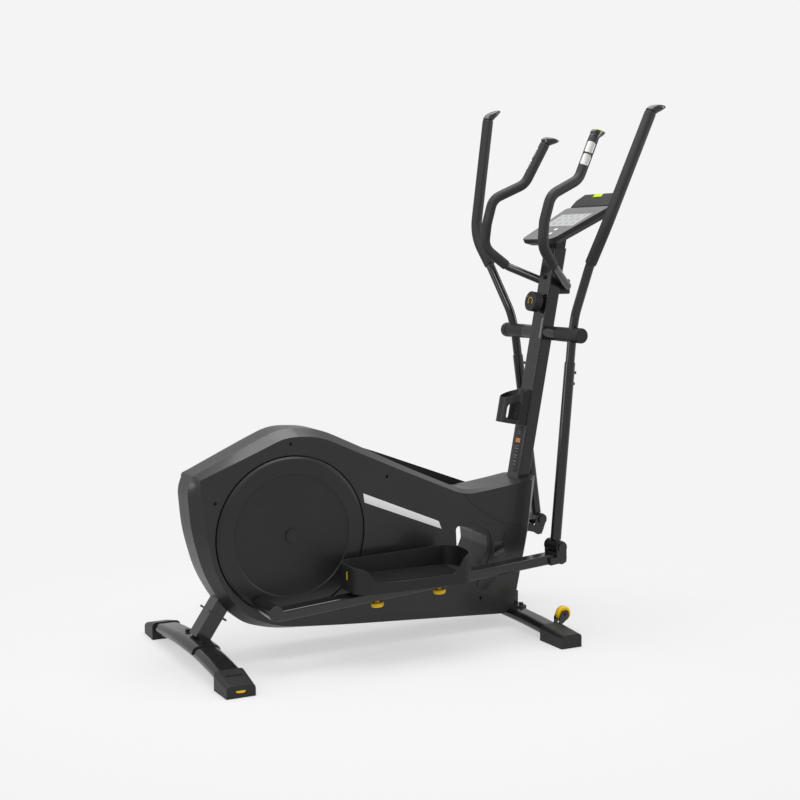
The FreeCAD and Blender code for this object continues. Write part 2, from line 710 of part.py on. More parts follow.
def handlebar_clamp():
    z = 1085
    face = mast_x(z) + MAST_DEPTH
    block = box(face - 20, face + 40, -32, 32, z - 24, z + 24)
    block = block.makeFillet(5, block.Edges)
    block = block.cut(leaning(60, 900, 1250, -10, MAST_DEPTH + 0.05))
    points = BAR_POINTS[5:] + [flip(p) for p in reversed(BAR_POINTS[5:])]
    radii = BAR_RADII[5:] + list(reversed(BAR_RADII[5:]))
    block = block.cut(tube(points, radii, BAR_R + 0.02))
    save("handlebar_clamp", block)


# ---- console ----
CONSOLE = (1198.0, 1237.0)
CONSOLE_SLOPE = 28.0
FACE_LENGTH = 228.0


def plan(corners, z):
    n = len(corners)
    pts = [V(c[0], c[1], z) for c in corners]
    cuts = [corner(pts[i - 1], pts[i], pts[(i + 1) % n], corners[i][2]) for i in range(n)]
    edges = []
    for i in range(n):
        edges.append(Part.Arc(*cuts[i]).toShape())
        edges.append(Part.makeLine(cuts[i][2], cuts[(i + 1) % n][0]))
    return Part.Wire(edges)


def slab(corners, z0, z1):
    return Part.Face(plan(corners, z0)).extrude(V(0, 0, z1 - z0))


def on_console(shape):
    moved = shape.copy()
    moved.rotate(V(0, 0, 0), YAX, -CONSOLE_SLOPE)
    moved.translate(V(CONSOLE[0], 0, CONSOLE[1]))
    return moved


def face_outline(inset):
    low = 94 - inset
    high = 126 - inset
    end = FACE_LENGTH - inset
    r = 26 - inset * 0.6
    return [(inset, -low, r), (end, -high, 12), (end, high, 12), (inset, low, r)]


KEYS = [(34, -38, 16, 11), (34, 22, 16, 11), (62, -32, 17, 12), (62, 26, 17, 12)]
SCREEN = (92.0, 188.0, 88.0)


def console():
    face = slab(face_outline(2), -3.0, 0.0)
    screen_room = slab([(SCREEN[0], -SCREEN[2], 6), (SCREEN[1], -SCREEN[2], 6),
                        (SCREEN[1], SCREEN[2], 6), (SCREEN[0], SCREEN[2], 6)], -1.5, 1.0)
    face = face.cut(screen_room)
    keys = []
    for i, (x, y, a, b) in enumerate(KEYS):
        hole = slab([(x, y, 4), (x + b, y, 4), (x + b, y + a, 4), (x, y + a, 4)], -8, 2)
        face = face.cut(hole)
        g = 0.35
        key = slab([(x + g, y + g, 3.6), (x + b - g, y + g, 3.6), (x + b - g, y + a - g, 3.6),
                    (x + g, y + a - g, 3.6)], -5.0, 0.8)
        keys.append(key)
    save("console_face", on_console(face))
    glass = slab([(SCREEN[0] + 0.3, -SCREEN[2] + 0.3, 5.7), (SCREEN[1] - 0.3, -SCREEN[2] + 0.3, 5.7),
                  (SCREEN[1] - 0.3, SCREEN[2] - 0.3, 5.7), (SCREEN[0] + 0.3, SCREEN[2] - 0.3, 5.7)], -1.45, -0.2)
    save("console_screen", on_console(glass))
    for i, key in enumerate(keys):
        save("console_key_%d" % (i + 1), on_console(key))
    rim = slab(face_outline(0), -14, -0.6).cut(slab(face_outline(1.9), -3.05, 1))
    back = Part.makeLoft([plan(face_outline(0), -14), plan(face_outline(16), -30)], True, True)
    body = fuse([rim, back])
    body = body.cut(slab(face_outline(6), -12, -6.0))
    for x, y, a, b in KEYS:
        body = body.cut(slab([(x - 1, y - 1, 4), (x + b + 1, y - 1, 4), (x + b + 1, y + a + 1, 4),
                              (x - 1, y + a + 1, 4)], -9, 2))
    neck = leaning(30, MAST_TOP - 45, 1280, 4.5, MAST_DEPTH - 4.5)
    room = on_console(slab([(-60, -200, 1), (400, -200, 1), (400, 200, 1), (-60, 200, 1)], -29, 200))
    neck = neck.cut(room)
    housing = fuse([on_console(body), neck])
    save("console_housing", housing)


def tablet_rest():
    base = FACE_LENGTH + 0.3
    pts = [(base - 4, -31), (base - 4, -14.5), (base, -14), (base, -1), (base + 4, 2), (base + 58, 18), (base + 61, 14),
           (base + 54, 6), (base + 20, -14), (base + 6, -26)]
    wire = Part.makePolygon([V(x, -104, z) for x, z in pts + pts[:1]])
    rest = Part.Face(wire).extrude(V(0, 208, 0))
    trim = slab([(base - 20, -108, 4), (base + 20, -112, 20), (base + 70, -72, 24), (base + 70, 72, 24),
                 (base + 20, 112, 20), (base - 20, 108, 4)], -60, 60)
    rest = rest.common(trim)
    rest = rest.cut(slab(face_outline(-0.3), -14.2, 10)).cut(
        Part.makeLoft([plan(face_outline(-0.3), -14), plan(face_outline(15.7), -30.3)], True, True))
    insert = box(base + 44, base + 63, -24, 24, 9, 26)
    cap = rest.common(insert)
    rest = rest.cut(insert)
    save("tablet_rest", group([on_console(rest), on_console(cap)]))


# ---- swinging arms, drawn on the left side in mid-travel ----
UPPER = [V(1230.47, 175.55, 800), V(1226.47, 169.7, 936), V(1222, 178, 1000), V(1206, 245, 1152), V(1198, 312, 1262),
         V(1304, 319, 1638)]
UPPER_R = [0, 300, 150, 160, 190, 0]
UPPER_TUBE = 14.3
LOWER_TOP = V(1229.0, 173.4, 850)
LOWER_END = V(1245.4, 197.4, 292)


def swing_arm(side):
    place = (lambda s: swung(s if side > 0 else mirror(s), side))
    name = "left" if side > 0 else "right"
    upper = tube(UPPER, UPPER_R, UPPER_TUBE, UPPER_TUBE - 2)
    hub = yring(PIVOT[0], PIVOT[1], 22.9, 15.0, 100, 197)
    bush_a = yring(PIVOT[0], PIVOT[1], 15.0, 12.05, 100.5, 116)
    bush_b = yring(PIVOT[0], PIVOT[1], 15.0, 12.05, 181, 197)
    cap = fuse([ycyl(PIVOT[0], PIVOT[1], 24.0, 207, 224),
                yring(PIVOT[0], PIVOT[1], 24.0, 19.5, 197.2, 208)])
    edges = [e for e in cap.Edges if abs(e.Length - 2 * math.pi * 24.0) < 0.5 and e.CenterOfMass.y > 220]
    cap = cap.makeFillet(4.0, edges)
    upper = upper.cut(ycyl(PIVOT[0], PIVOT[1], 22.9, 90, 240))
    hub_all = fuse([hub, bush_a, bush_b])
    save("swing_hub_" + name, group([place(hub_all), place(cap)]))
    save("swing_upper_" + name, place(upper))
    way = LOWER_END - LOWER_TOP
    low = Part.makeCylinder(16.8, way.Length, LOWER_TOP, way).cut(
        Part.makeCylinder(14.45, way.Length - 20, LOWER_TOP - way * 0.001, way))
    barrel = yring(LOW_JOINT[0], LOW_JOINT[1], 21.0, 10.05, 172, 226)
    low = low.cut(ycyl(LOW_JOINT[0], LOW_JOINT[1], 15, 160, 240))
    lower = fuse([low, barrel])
    bolt_low = [cyl(V(1231 + 12, 174.6, z), V(1, 0, 0), 5.0, 11) for z in (785, 820)]
    lower = fuse([lower] + [b.cut(Part.makeCylinder(14.5, way.Length, LOWER_TOP, way)) for b in bolt_low])
    save("swing_lower_" + name, place(lower))
    start = UPPER[3] + (UPPER[4] - UPPER[3]) * 0.06
    grip = tube([start] + UPPER[4:], [0, 190, 0], 18.0).cut(tube(UPPER, UPPER_R, UPPER_TUBE + 0.03))
    save("swing_grip_" + name, place(grip))
    tip = UPPER[5]
    way_up = (UPPER[5] - UPPER[4]).normalize()
    low_c = Part.Wire([Part.makeCircle(18.0, tip + way_up * 0.3, way_up)])
    mid_c = Part.Wire([Part.makeCircle(18.5, tip + way_up * 10 + V(3, 0, 0), way_up)])
    e = Part.Ellipse(tip + way_up * 26 + V(14, 0, 0), 32, 18)
    up = V(-0.18, 0, 1).normalize()
    e.Axis = up
    e.XAxis = V(1, 0, 0.18).normalize()
    horn = Part.makeLoft([low_c, mid_c, Part.Wire([e.toShape()])], True, False)
    save("swing_cap_" + name, place(horn))


# ---- pedal arms, drawn on the right side in the stored pose ----
H_OFF = -13.0
F_OFF = -35.0
U = ((JOINT_R[0] - PIN_R[0]), (JOINT_R[1] - PIN_R[1]))
U_LEN = math.hypot(*U)
U = (U[0] / U_LEN, U[1] / U_LEN)


def arm_point(along, above):
    # a point of the right arm, measured back from the front pin along the line to the rear one
    return JOINT_R[0] - along * U[0] - above * U[1], JOINT_R[1] - along * U[1] + above * U[0]


REAR_PIN = arm_point(ARM_LENGTH, 0)
TUBE_BACK = arm_point(ARM_LENGTH - 10, H_OFF)
TUBE_FRONT = arm_point(25, F_OFF + 0.6)


def tube_height(x):
    t = (x - TUBE_BACK[0]) / (TUBE_FRONT[0] - TUBE_BACK[0])
    return TUBE_BACK[1] + t * (TUBE_FRONT[1] - TUBE_BACK[1])


def pedal_arm():
    tube_bar = shifted(bar_between(TUBE_BACK, TUBE_FRONT, 30, 25), 0, -ARM_Y, 0)
    edges = [e for e in tube_bar.Edges if e.Length > 800]
    tube_bar = tube_bar.makeFillet(6.0, edges)
    core = shifted(bar_between(arm_point(ARM_LENGTH - 40, H_OFF - 0.6), arm_point(40, F_OFF + 0.3), 25, 22.5), 0, -ARM_Y, 0)
    tube_bar = tube_bar.cut(core)
    housing = ycyl(REAR_PIN[0], REAR_PIN[1], 22.0, -235, -BOSS_FACE - 0.6)
    rims = [e for e in housing.Edges if abs(e.Length - 2 * math.pi * 22) < 0.5]
    housing = housing.makeFillet(2.0, rims)
    bore = ycyl(REAR_PIN[0], REAR_PIN[1], 15.0, -228, -90)
    housing = housing.cut(bore)
    tube_bar = tube_bar.cut(ycyl(REAR_PIN[0], REAR_PIN[1], 20.0, -300, -90))
    inner = fuse([ycyl(REAR_PIN[0], REAR_PIN[1], 10.0, -224, -BOSS_FACE - 0.6),
                  yring(REAR_PIN[0], REAR_PIN[1], 15.0, 10.0, -130, -112),
                  yring(REAR_PIN[0], REAR_PIN[1], 15.0, 10.0, -222, -204)])
    cheeks = []
    for off in (-31.5, 31.5):
        p0 = (JOINT_R[0], JOINT_R[1])
        p1 = arm_point(2, F_OFF)
        cheek = shifted(bar_between(p0, p1, 36, 3.5), 0, -ARM_Y + off, 0)
        top = ycyl(p0[0], p0[1], 20.0, -ARM_Y + off - 3.5, -ARM_Y + off + 3.5)
        low = ycyl(p1[0], p1[1], 18.0, -ARM_Y + off - 3.5, -ARM_Y + off + 3.5)
        cheeks.append(fuse([cheek, top, low]))
    base = shifted(bar_between(arm_point(44, F_OFF - 3), arm_point(-14, F_OFF - 3), 22, 35), 0, -ARM_Y, 0)
    pin = ycyl(JOINT_R[0], JOINT_R[1], 10.0, -ARM_Y - 36, -ARM_Y + 36)
    head = ycyl(JOINT_R[0], JOINT_R[1], 14.0, -ARM_Y - 41, -ARM_Y - 34.9)
    nut = ycyl(JOINT_R[0], JOINT_R[1], 14.0, -ARM_Y + 34.9, -ARM_Y + 41)
    arm = fuse([tube_bar, housing, inner] + cheeks + [base, pin, head, nut])
    save("pedal_arm_right", arm)
    save("pedal_arm_left", to_left(arm))


TRAY = (425.0, 822.0, -286.0, -129.0)
TRAY_LOW = 213.0
TRAY_TOP = 301.0


def footplate():
    x0, x1, y0, y1 = TRAY
    outer = [(x0, y0, 46), (x1 - 22, y0, 62), (x1, y0 + 60, 60), (x1, y1 - 30, 52), (x1 - 22, y1, 52), (x0, y1, 46)]
    block = slab(outer, TRAY_LOW, TRAY_TOP)
    small = [(x0 + 5, y0 + 5, 42), (x1 - 26, y0 + 5, 58), (x1 - 5, y0 + 62, 56), (x1 - 5, y1 - 32, 48),
             (x1 - 26, y1 - 5, 48), (x0 + 5, y1 - 5, 42)]
    hollow = slab(small, 241, TRAY_TOP + 5)
    block = block.cut(hollow)
    # rim line: falls from both ends to a low lip along the outer edge, and gently along the inner one
    over = [(x0 - 20, 289, 1), (455, 287, 30), (480, 246, 26), (560, 243, 200), (745, 246, 26), (778, 296, 30),
            (x1 + 20, 303, 1), (x1 + 20, 360, 1), (x0 - 20, 360, 1)]
    block = block.cut(prism(over, y0 - 10, -205))
    slope = [(x0 - 20, 287, 1), (x1 + 20, 303, 1), (x1 + 20, 360, 1), (x0 - 20, 360, 1)]
    block = block.cut(prism([(a, b, 0.5) for a, b, c in slope], -205.1, y1 + 10))
    channel = shifted(bar_between((x0 - 60, tube_height(x0 - 60)), (x1 + 60, tube_height(x1 + 60)), 31, 25.5),
                      0, -ARM_Y, 0)
    block = block.cut(channel)
    ribs = []
    for k in range(15):
        y = y0 + 22 + k * 8.2
        ribs.append(box(x0 + 34, x1 - 40, y - 1.5, y + 1.5, 240.5, 243.5))
    plate = fuse([block] + ribs)
    save("footplate_right", plate)
    save("footplate_left", to_left(plate))
    return plate


def clamp_knobs():
    slope = math.degrees(math.atan2(TUBE_FRONT[1] - TUBE_BACK[1], TUBE_FRONT[0] - TUBE_BACK[0]))
    a = math.radians(slope)
    down = V(math.sin(a), 0, -math.cos(a))
    for label, x in (("rear", 524.0), ("front", 733.0)):
        centre = V(x, -ARM_Y, tube_height(x))
        top = centre + down * 15.4
        stem = Part.makeCylinder(7.5, 9.0, top, down)
        wheel = Part.makeCylinder(19.5, 14.0, top + down * 8.0, down)
        rims = [e for e in wheel.Edges if abs(e.Length - 2 * math.pi * 19.5) < 0.5]
        wheel = wheel.makeFillet(4.5, rims)
        knob = fuse([stem, wheel])
        save("knob_%s_right" % label, knob)
        save("knob_%s_left" % label, to_left(knob))


rear_stabiliser()
front_stabiliser()
end_caps()
levelling_dial("levelling_dial_right", -1)
levelling_dial("levelling_dial_left", 1)
wheel_brackets()
transport_wheel("transport_wheel_right", -1)
transport_wheel("transport_wheel_left", 1)
main_frame()
crank_bearings()
crank_axle()
crank_arms()
crank_discs()
drive_pulley()
drive_belt()
flywheel_unit()
idler_roller()
brake_unit()
casing_shells()
fasteners()
labels()
mast()
pivot_tube()
dial_and_seat()
bottle_cage()
fixed_handlebar()
fixed_grips()
fixed_caps()
pulse_plates()
handlebar_clamp()
console()
tablet_rest()
swing_arm(-1)
swing_arm(1)
pedal_arm()
footplate()
clamp_knobs()
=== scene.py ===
import math

import bmesh
import bpy
from mathutils import Matrix, Vector


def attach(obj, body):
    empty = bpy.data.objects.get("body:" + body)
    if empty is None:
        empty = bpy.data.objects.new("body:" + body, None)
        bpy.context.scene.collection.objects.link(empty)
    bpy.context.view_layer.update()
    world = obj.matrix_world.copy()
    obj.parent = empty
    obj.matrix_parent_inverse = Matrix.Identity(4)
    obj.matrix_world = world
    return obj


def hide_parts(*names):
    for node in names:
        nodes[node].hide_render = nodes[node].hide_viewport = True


bl_info = {
    "name": "Elliptical trainer",
    "version": (1, 0, 0),
    "blender": (4, 5, 0),
    "location": "3D View > Sidebar > Trainer",
    "description": "Finishes, trim and studio for an elliptical trainer",
    "category": "Object",
}

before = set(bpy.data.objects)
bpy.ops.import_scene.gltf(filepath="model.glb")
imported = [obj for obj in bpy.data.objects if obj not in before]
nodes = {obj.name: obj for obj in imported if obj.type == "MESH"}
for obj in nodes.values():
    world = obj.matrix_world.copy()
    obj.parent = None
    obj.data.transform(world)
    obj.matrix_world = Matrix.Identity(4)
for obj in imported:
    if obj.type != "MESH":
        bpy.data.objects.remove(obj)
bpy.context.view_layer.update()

# x in the workshop drawing starts at the rear foot; the row's origin is this far ahead of it
ORIGIN = 0.72306
PIVOT = Vector((1.226 - ORIGIN, 0.0, 0.936))
SWING = math.radians(8.07)
CRANK = Vector((0.304 - ORIGIN, 0.0, 0.367))
MAST_LEAN = math.atan(0.1828)
CONSOLE_TURN = math.radians(28.0)


def mast_face(z):
    return 1.110 + 0.1828 * (z - 0.445) - ORIGIN


# ---------------------------------------------------------------- settings
class TRAINER_PG_finishes(bpy.types.PropertyGroup):
    paint: bpy.props.FloatVectorProperty(
        name="Tube paint", description="Colour of the painted steel tubes", subtype="COLOR",
        size=3, min=0.0, max=1.0, default=(0.0080, 0.0080, 0.0088))
    casing: bpy.props.FloatVectorProperty(
        name="Casing", description="Colour of the moulded casing", subtype="COLOR",
        size=3, min=0.0, max=1.0, default=(0.0122, 0.0122, 0.0128))
    foam: bpy.props.FloatVectorProperty(
        name="Foam", description="Colour of the foam grips", subtype="COLOR",
        size=3, min=0.0, max=1.0, default=(0.0135, 0.0135, 0.0145))
    accent: bpy.props.FloatVectorProperty(
        name="Accent", description="Colour of the wheels and clamp knobs", subtype="COLOR",
        size=3, min=0.0, max=1.0, default=(0.96, 0.62, 0.002))
    lime: bpy.props.FloatVectorProperty(
        name="Control colour", description="Colour of the control button and console insert",
        subtype="COLOR", size=3, min=0.0, max=1.0, default=(0.62, 0.74, 0.010))


class TRAINER_PG_sizes(bpy.types.PropertyGroup):
    grip_radius: bpy.props.FloatProperty(
        name="Swing grip radius", description="Outside radius of the foam on the swinging arms",
        default=0.018, min=0.015, max=0.018, unit="LENGTH")
    fixed_grip_radius: bpy.props.FloatProperty(
        name="Fixed grip radius", description="Outside radius of the foam on the fixed bar",
        default=0.0165, min=0.0135, max=0.0165, unit="LENGTH")
    rib_pitch: bpy.props.FloatProperty(
        name="Tread pitch", description="Distance between the ribs of a footplate",
        default=0.0082, min=0.006, max=0.012, unit="LENGTH")
    lens: bpy.props.FloatProperty(
        name="Camera lens", description="Focal length of the stage camera",
        default=62.06, min=20.0, max=200.0, unit="CAMERA")


def finishes():
    return bpy.context.scene.trainer_finishes


def sizes():
    return bpy.context.scene.trainer_sizes


# ---------------------------------------------------------------- shader groups
def group_base(name, inputs, outputs):
    tree = bpy.data.node_groups.new(name, "ShaderNodeTree")
    for label, kind, value in inputs:
        sock = tree.interface.new_socket(name=label, in_out="INPUT", socket_type=kind)
        if value is not None:
            sock.default_value = value
    for label, kind in outputs:
        tree.interface.new_socket(name=label, in_out="OUTPUT", socket_type=kind)
    start = tree.nodes.new("NodeGroupInput")
    end = tree.nodes.new("NodeGroupOutput")
    return tree, start, end


def math_node(tree, op, a, b, clamp=False):
    node = tree.nodes.new("ShaderNodeMath")
    node.operation = op
    node.use_clamp = clamp
    for i, v in enumerate((a, b)):
        if v is None:
            continue
        if isinstance(v, (int, float)):
            node.inputs[i].default_value = v
        else:
            tree.links.new(v, node.inputs[i])
    return node.outputs[0]


def noise(tree, vector, scale, detail, rough):
    node = tree.nodes.new("ShaderNodeTexNoise")
    node.inputs["Detail"].default_value = detail
    node.inputs["Roughness"].default_value = rough
    tree.links.new(vector, node.inputs["Vector"])
    if isinstance(scale, (int, float)):
        node.inputs["Scale"].default_value = scale
    else:
        tree.links.new(scale, node.inputs["Scale"])
    return node.outputs["Fac"]


def build_tone_group():
    """Slow drift of colour and gloss over a surface, with handling smudges."""
    tree, start, end = group_base(
        "Tone drift",
        [("Vector", "NodeSocketVector", None), ("Colour", "NodeSocketColor", (0.1, 0.1, 0.1, 1)),
         ("Second colour", "NodeSocketColor", (0.1, 0.1, 0.1, 1)), ("Roughness", "NodeSocketFloat", 0.5),
         ("Spread", "NodeSocketFloat", 0.05), ("Scale", "NodeSocketFloat", 6.0)],
        [("Colour", "NodeSocketColor"), ("Roughness", "NodeSocketFloat")])
    slow = noise(tree, start.outputs["Vector"], start.outputs["Scale"], 3.0, 0.55)
    finer = math_node(tree, "MULTIPLY", start.outputs["Scale"], 7.3)
    fine = noise(tree, start.outputs["Vector"], finer, 4.0, 0.6)
    both = math_node(tree, "MULTIPLY", math_node(tree, "ADD", slow, fine), 0.5)
    ramp = tree.nodes.new("ShaderNodeMapRange")
    ramp.inputs["From Min"].default_value = 0.36
    ramp.inputs["From Max"].default_value = 0.64
    tree.links.new(both, ramp.inputs["Value"])
    mix = tree.nodes.new("ShaderNodeMix")
    mix.data_type = "RGBA"
    tree.links.new(ramp.outputs["Result"], mix.inputs["Factor"])
    tree.links.new(start.outputs["Colour"], mix.inputs["A"])
    tree.links.new(start.outputs["Second colour"], mix.inputs["B"])
    tree.links.new(mix.outputs["Result"], end.inputs["Colour"])
    swing = math_node(tree, "MULTIPLY", math_node(tree, "SUBTRACT", both, 0.5), start.outputs["Spread"])
    rough = math_node(tree, "ADD", start.outputs["Roughness"], math_node(tree, "MULTIPLY", swing, 4.0), True)
    tree.links.new(rough, end.inputs["Roughness"])
    return tree


def build_grain_group():
    """Fine moulded, cast or foam texture as a height."""
    tree, start, end = group_base(
        "Fine grain",
        [("Vector", "NodeSocketVector", None), ("Scale", "NodeSocketFloat", 900.0),
         ("Cell share", "NodeSocketFloat", 0.5)],
        [("Height", "NodeSocketFloat")])
    grain = noise(tree, start.outputs["Vector"], start.outputs["Scale"], 2.0, 0.5)
    cells = tree.nodes.new("ShaderNodeTexVoronoi")
    tree.links.new(start.outputs["Vector"], cells.inputs["Vector"])
    tree.links.new(start.outputs["Scale"], cells.inputs["Scale"])
    mix = tree.nodes.new("ShaderNodeMix")
    mix.data_type = "FLOAT"
    tree.links.new(start.outputs["Cell share"], mix.inputs["Factor"])
    tree.links.new(grain, mix.inputs["A"])
    tree.links.new(cells.outputs["Distance"], mix.inputs["B"])
    tree.links.new(mix.outputs["Result"], end.inputs["Height"])
    return tree


def build_dust_group():
    """Light dust that settles on faces turned upwards."""
    tree, start, end = group_base(
        "Settled dust",
        [("Vector", "NodeSocketVector", None), ("Normal", "NodeSocketVector", None),
         ("Colour", "NodeSocketColor", (0.1, 0.1, 0.1, 1)), ("Amount", "NodeSocketFloat", 0.05)],
        [("Colour", "NodeSocketColor")])
    split = tree.nodes.new("ShaderNodeSeparateXYZ")
    tree.links.new(start.outputs["Normal"], split.inputs[0])
    up = math_node(tree, "MULTIPLY", math_node(tree, "SUBTRACT", split.outputs["Z"], 0.35), 1.4, True)
    specks = noise(tree, start.outputs["Vector"], 140.0, 5.0, 0.7)
    mask = math_node(tree, "MULTIPLY", math_node(tree, "MULTIPLY", up, specks), start.outputs["Amount"], True)
    mix = tree.nodes.new("ShaderNodeMix")
    mix.data_type = "RGBA"
    tree.links.new(mask, mix.inputs["Factor"])
    tree.links.new(start.outputs["Colour"], mix.inputs["A"])
    mix.inputs["B"].default_value = (0.42, 0.41, 0.39, 1)
    tree.links.new(mix.outputs["Result"], end.inputs["Colour"])
    return tree


def shared(name, builder):
    return bpy.data.node_groups.get(name) or builder()


def material(name, colour, rough, second=None, metallic=0.0, coat=0.0, coat_rough=0.1, spread=0.03,
             tone_scale=6.0, grain_scale=900.0, grain_depth=0.00004, cells=0.0, dust=0.0, specular=0.5):
    old = bpy.data.materials.get(name)
    if old:
        return old
    mat = bpy.data.materials.new(name)
    mat.use_nodes = True
    tree = mat.node_tree
    shader = tree.nodes["Principled BSDF"]
    coords = tree.nodes.new("ShaderNodeTexCoord")
    tone = tree.nodes.new("ShaderNodeGroup")
    tone.node_tree = shared("Tone drift", build_tone_group)
    second = second or [c * 1.28 for c in colour]
    tone.inputs["Colour"].default_value = (*colour, 1)
    tone.inputs["Second colour"].default_value = (*second, 1)
    tone.inputs["Roughness"].default_value = rough
    tone.inputs["Spread"].default_value = spread
    tone.inputs["Scale"].default_value = tone_scale
    tree.links.new(coords.outputs["Object"], tone.inputs["Vector"])
    paint = tone.outputs["Colour"]
    if dust:
        settled = tree.nodes.new("ShaderNodeGroup")
        settled.node_tree = shared("Settled dust", build_dust_group)
        settled.inputs["Amount"].default_value = dust
        geometry = tree.nodes.new("ShaderNodeNewGeometry")
        tree.links.new(geometry.outputs["Normal"], settled.inputs["Normal"])
        tree.links.new(coords.outputs["Object"], settled.inputs["Vector"])
        tree.links.new(paint, settled.inputs["Colour"])
        paint = settled.outputs["Colour"]
    tree.links.new(paint, shader.inputs["Base Color"])
    tree.links.new(tone.outputs["Roughness"], shader.inputs["Roughness"])
    shader.inputs["Metallic"].default_value = metallic
    shader.inputs["Coat Weight"].default_value = coat
    shader.inputs["Coat Roughness"].default_value = coat_rough
    shader.inputs["Specular IOR Level"].default_value = specular
    if grain_depth:
        grain = tree.nodes.new("ShaderNodeGroup")
        grain.node_tree = shared("Fine grain", build_grain_group)
        grain.inputs["Scale"].default_value = grain_scale
        grain.inputs["Cell share"].default_value = cells
        tree.links.new(coords.outputs["Object"], grain.inputs["Vector"])
        bump = tree.nodes.new("ShaderNodeBump")
        bump.inputs["Strength"].default_value = 1.0
        bump.inputs["Distance"].default_value = grain_depth
        tree.links.new(grain.outputs["Height"], bump.inputs["Height"])
        tree.links.new(bump.outputs["Normal"], shader.inputs["Normal"])
    return mat


def tube_paint():
    return material("Tube paint", finishes().paint, 0.22, coat=0.55, coat_rough=0.07, spread=0.02,
                    grain_scale=420.0, grain_depth=0.00003, dust=0.02)


def casing_plastic():
    return material("Casing plastic", finishes().casing, 0.37, coat=0.30, coat_rough=0.16, spread=0.04,
                    grain_scale=1500.0, grain_depth=0.00005, cells=0.4, dust=0.035, tone_scale=4.0)


def disc_plastic():
    return material("Disc plastic", [c * 1.05 for c in finishes().casing], 0.40, spread=0.04, grain_scale=1300.0,
                    grain_depth=0.00004, cells=0.3, dust=0.02)


def disc_rim():
    return material("Disc rim", [c * 1.25 for c in finishes().casing], 0.30, spread=0.04, grain_scale=1300.0,
                    grain_depth=0.00004, cells=0.3, dust=0.02)


def black_plastic():
    return material("Black plastic", [c * 0.8 for c in finishes().casing], 0.42, spread=0.05,
                    grain_scale=1400.0, grain_depth=0.00006, cells=0.5, dust=0.03)


def gloss_plastic():
    return material("Gloss plastic", (0.016, 0.016, 0.018), 0.16, coat=0.5, coat_rough=0.05, grain_depth=0.0)


def foam_rubber():
    return material("Foam rubber", finishes().foam, 0.56, spread=0.05, grain_scale=700.0, grain_depth=0.00014,
                    cells=0.75, dust=0.03, specular=0.55)


def tread_rubber():
    return material("Tread rubber", (0.0060, 0.0060, 0.0064), 0.56, spread=0.06, grain_scale=1100.0,
                    grain_depth=0.00012, cells=0.4, dust=0.06)


def accent_plastic():
    return material("Accent plastic", finishes().accent, 0.30, second=(0.97, 0.58, 0.002), coat=0.25,
                    grain_scale=900.0, grain_depth=0.00003, tone_scale=30.0)


def lime_plastic():
    return material("Control plastic", finishes().lime, 0.36, second=(0.56, 0.69, 0.010), grain_depth=0.00003)


def steel():
    return material("Bright steel", (0.48, 0.48, 0.50), 0.30, metallic=1.0, spread=0.08, grain_scale=700.0)


def dark_steel():
    return material("Blackened steel", (0.035, 0.035, 0.038), 0.34, metallic=0.85, spread=0.08,
                    grain_scale=700.0)


def iron():
    return material("Cast iron", (0.09, 0.09, 0.095), 0.6, metallic=0.8, spread=0.08, grain_scale=380.0,
                    grain_depth=0.0002, cells=0.5)


def sensor_steel():
    return material("Sensor plate", (0.74, 0.74, 0.72), 0.30, second=(0.80, 0.80, 0.79), metallic=0.55,
                    spread=0.04)


def print_white():
    return material("White print", (0.93, 0.93, 0.93), 0.45, second=(0.95, 0.95, 0.95), spread=0.02)


def print_orange():
    return material("Orange print", (0.85, 0.32, 0.03), 0.5, second=(0.80, 0.27, 0.02), spread=0.02)


def print_grey():
    return material("Grey print", (0.20, 0.20, 0.205), 0.34, spread=0.03)


def label_film():
    return material("Label film", (0.012, 0.012, 0.0125), 0.26, coat=0.2, grain_depth=0.0)


def screen_film():
    return material("Screen film", (0.52, 0.53, 0.53), 0.16, second=(0.56, 0.57, 0.57), coat=0.6,
                    grain_depth=0.0)


def face_film():
    return material("Console film", (0.13, 0.13, 0.135), 0.16, second=(0.15, 0.15, 0.155), coat=0.5,
                    grain_depth=0.0)


# ---------------------------------------------------------------- mesh helpers
def keep(name, bm, body, mat, smooth=35.0, level=0, replaced=()):
    bmesh.ops.remove_doubles(bm, verts=bm.verts, dist=1e-6)
    bmesh.ops.recalc_face_normals(bm, faces=bm.faces)
    mesh = bpy.data.meshes.new(name)
    bm.to_mesh(mesh)
    bm.free()
    mesh.materials.append(mat)
    obj = bpy.data.objects.new(name, mesh)
    bpy.context.scene.collection.objects.link(obj)
    mesh.shade_smooth()
    mesh.set_sharp_from_angle(angle=math.radians(smooth))
    if level:
        sub = obj.modifiers.new("Subdivision", "SUBSURF")
        sub.levels = level
        sub.render_levels = level
    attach(obj, body)
    if replaced:
        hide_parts(*replaced)
    return obj


def dress(mat, *names):
    for name in names:
        mesh = nodes[name].data
        mesh.materials.clear()
        mesh.materials.append(mat)


def rounded_run(points, bends, step=0.012):
    """Points along straight lines joined by arcs, as the tube follows them."""
    pts = [Vector(p) for p in points]
    out = [pts[0]]
    for i in range(1, len(pts) - 1):
        a = (pts[i - 1] - pts[i])
        b = (pts[i + 1] - pts[i])
        half = a.angle(b) / 2
        reach = min(bends[i] / math.tan(half), a.length * 0.46, b.length * 0.46)
        radius = reach * math.tan(half)
        ua, ub = a.normalized(), b.normalized()
        middle = (ua + ub).normalized()
        centre = pts[i] + middle * (radius / math.sin(half))
        start = pts[i] + ua * reach - centre
        stop = pts[i] + ub * reach - centre
        count = max(3, int(radius * start.angle(stop) / step))
        for k in range(count + 1):
            spin = Matrix.Rotation(start.angle(stop) * k / count, 3, start.cross(stop))
            out.append(centre + spin @ start)
    out.append(pts[-1])
    return out


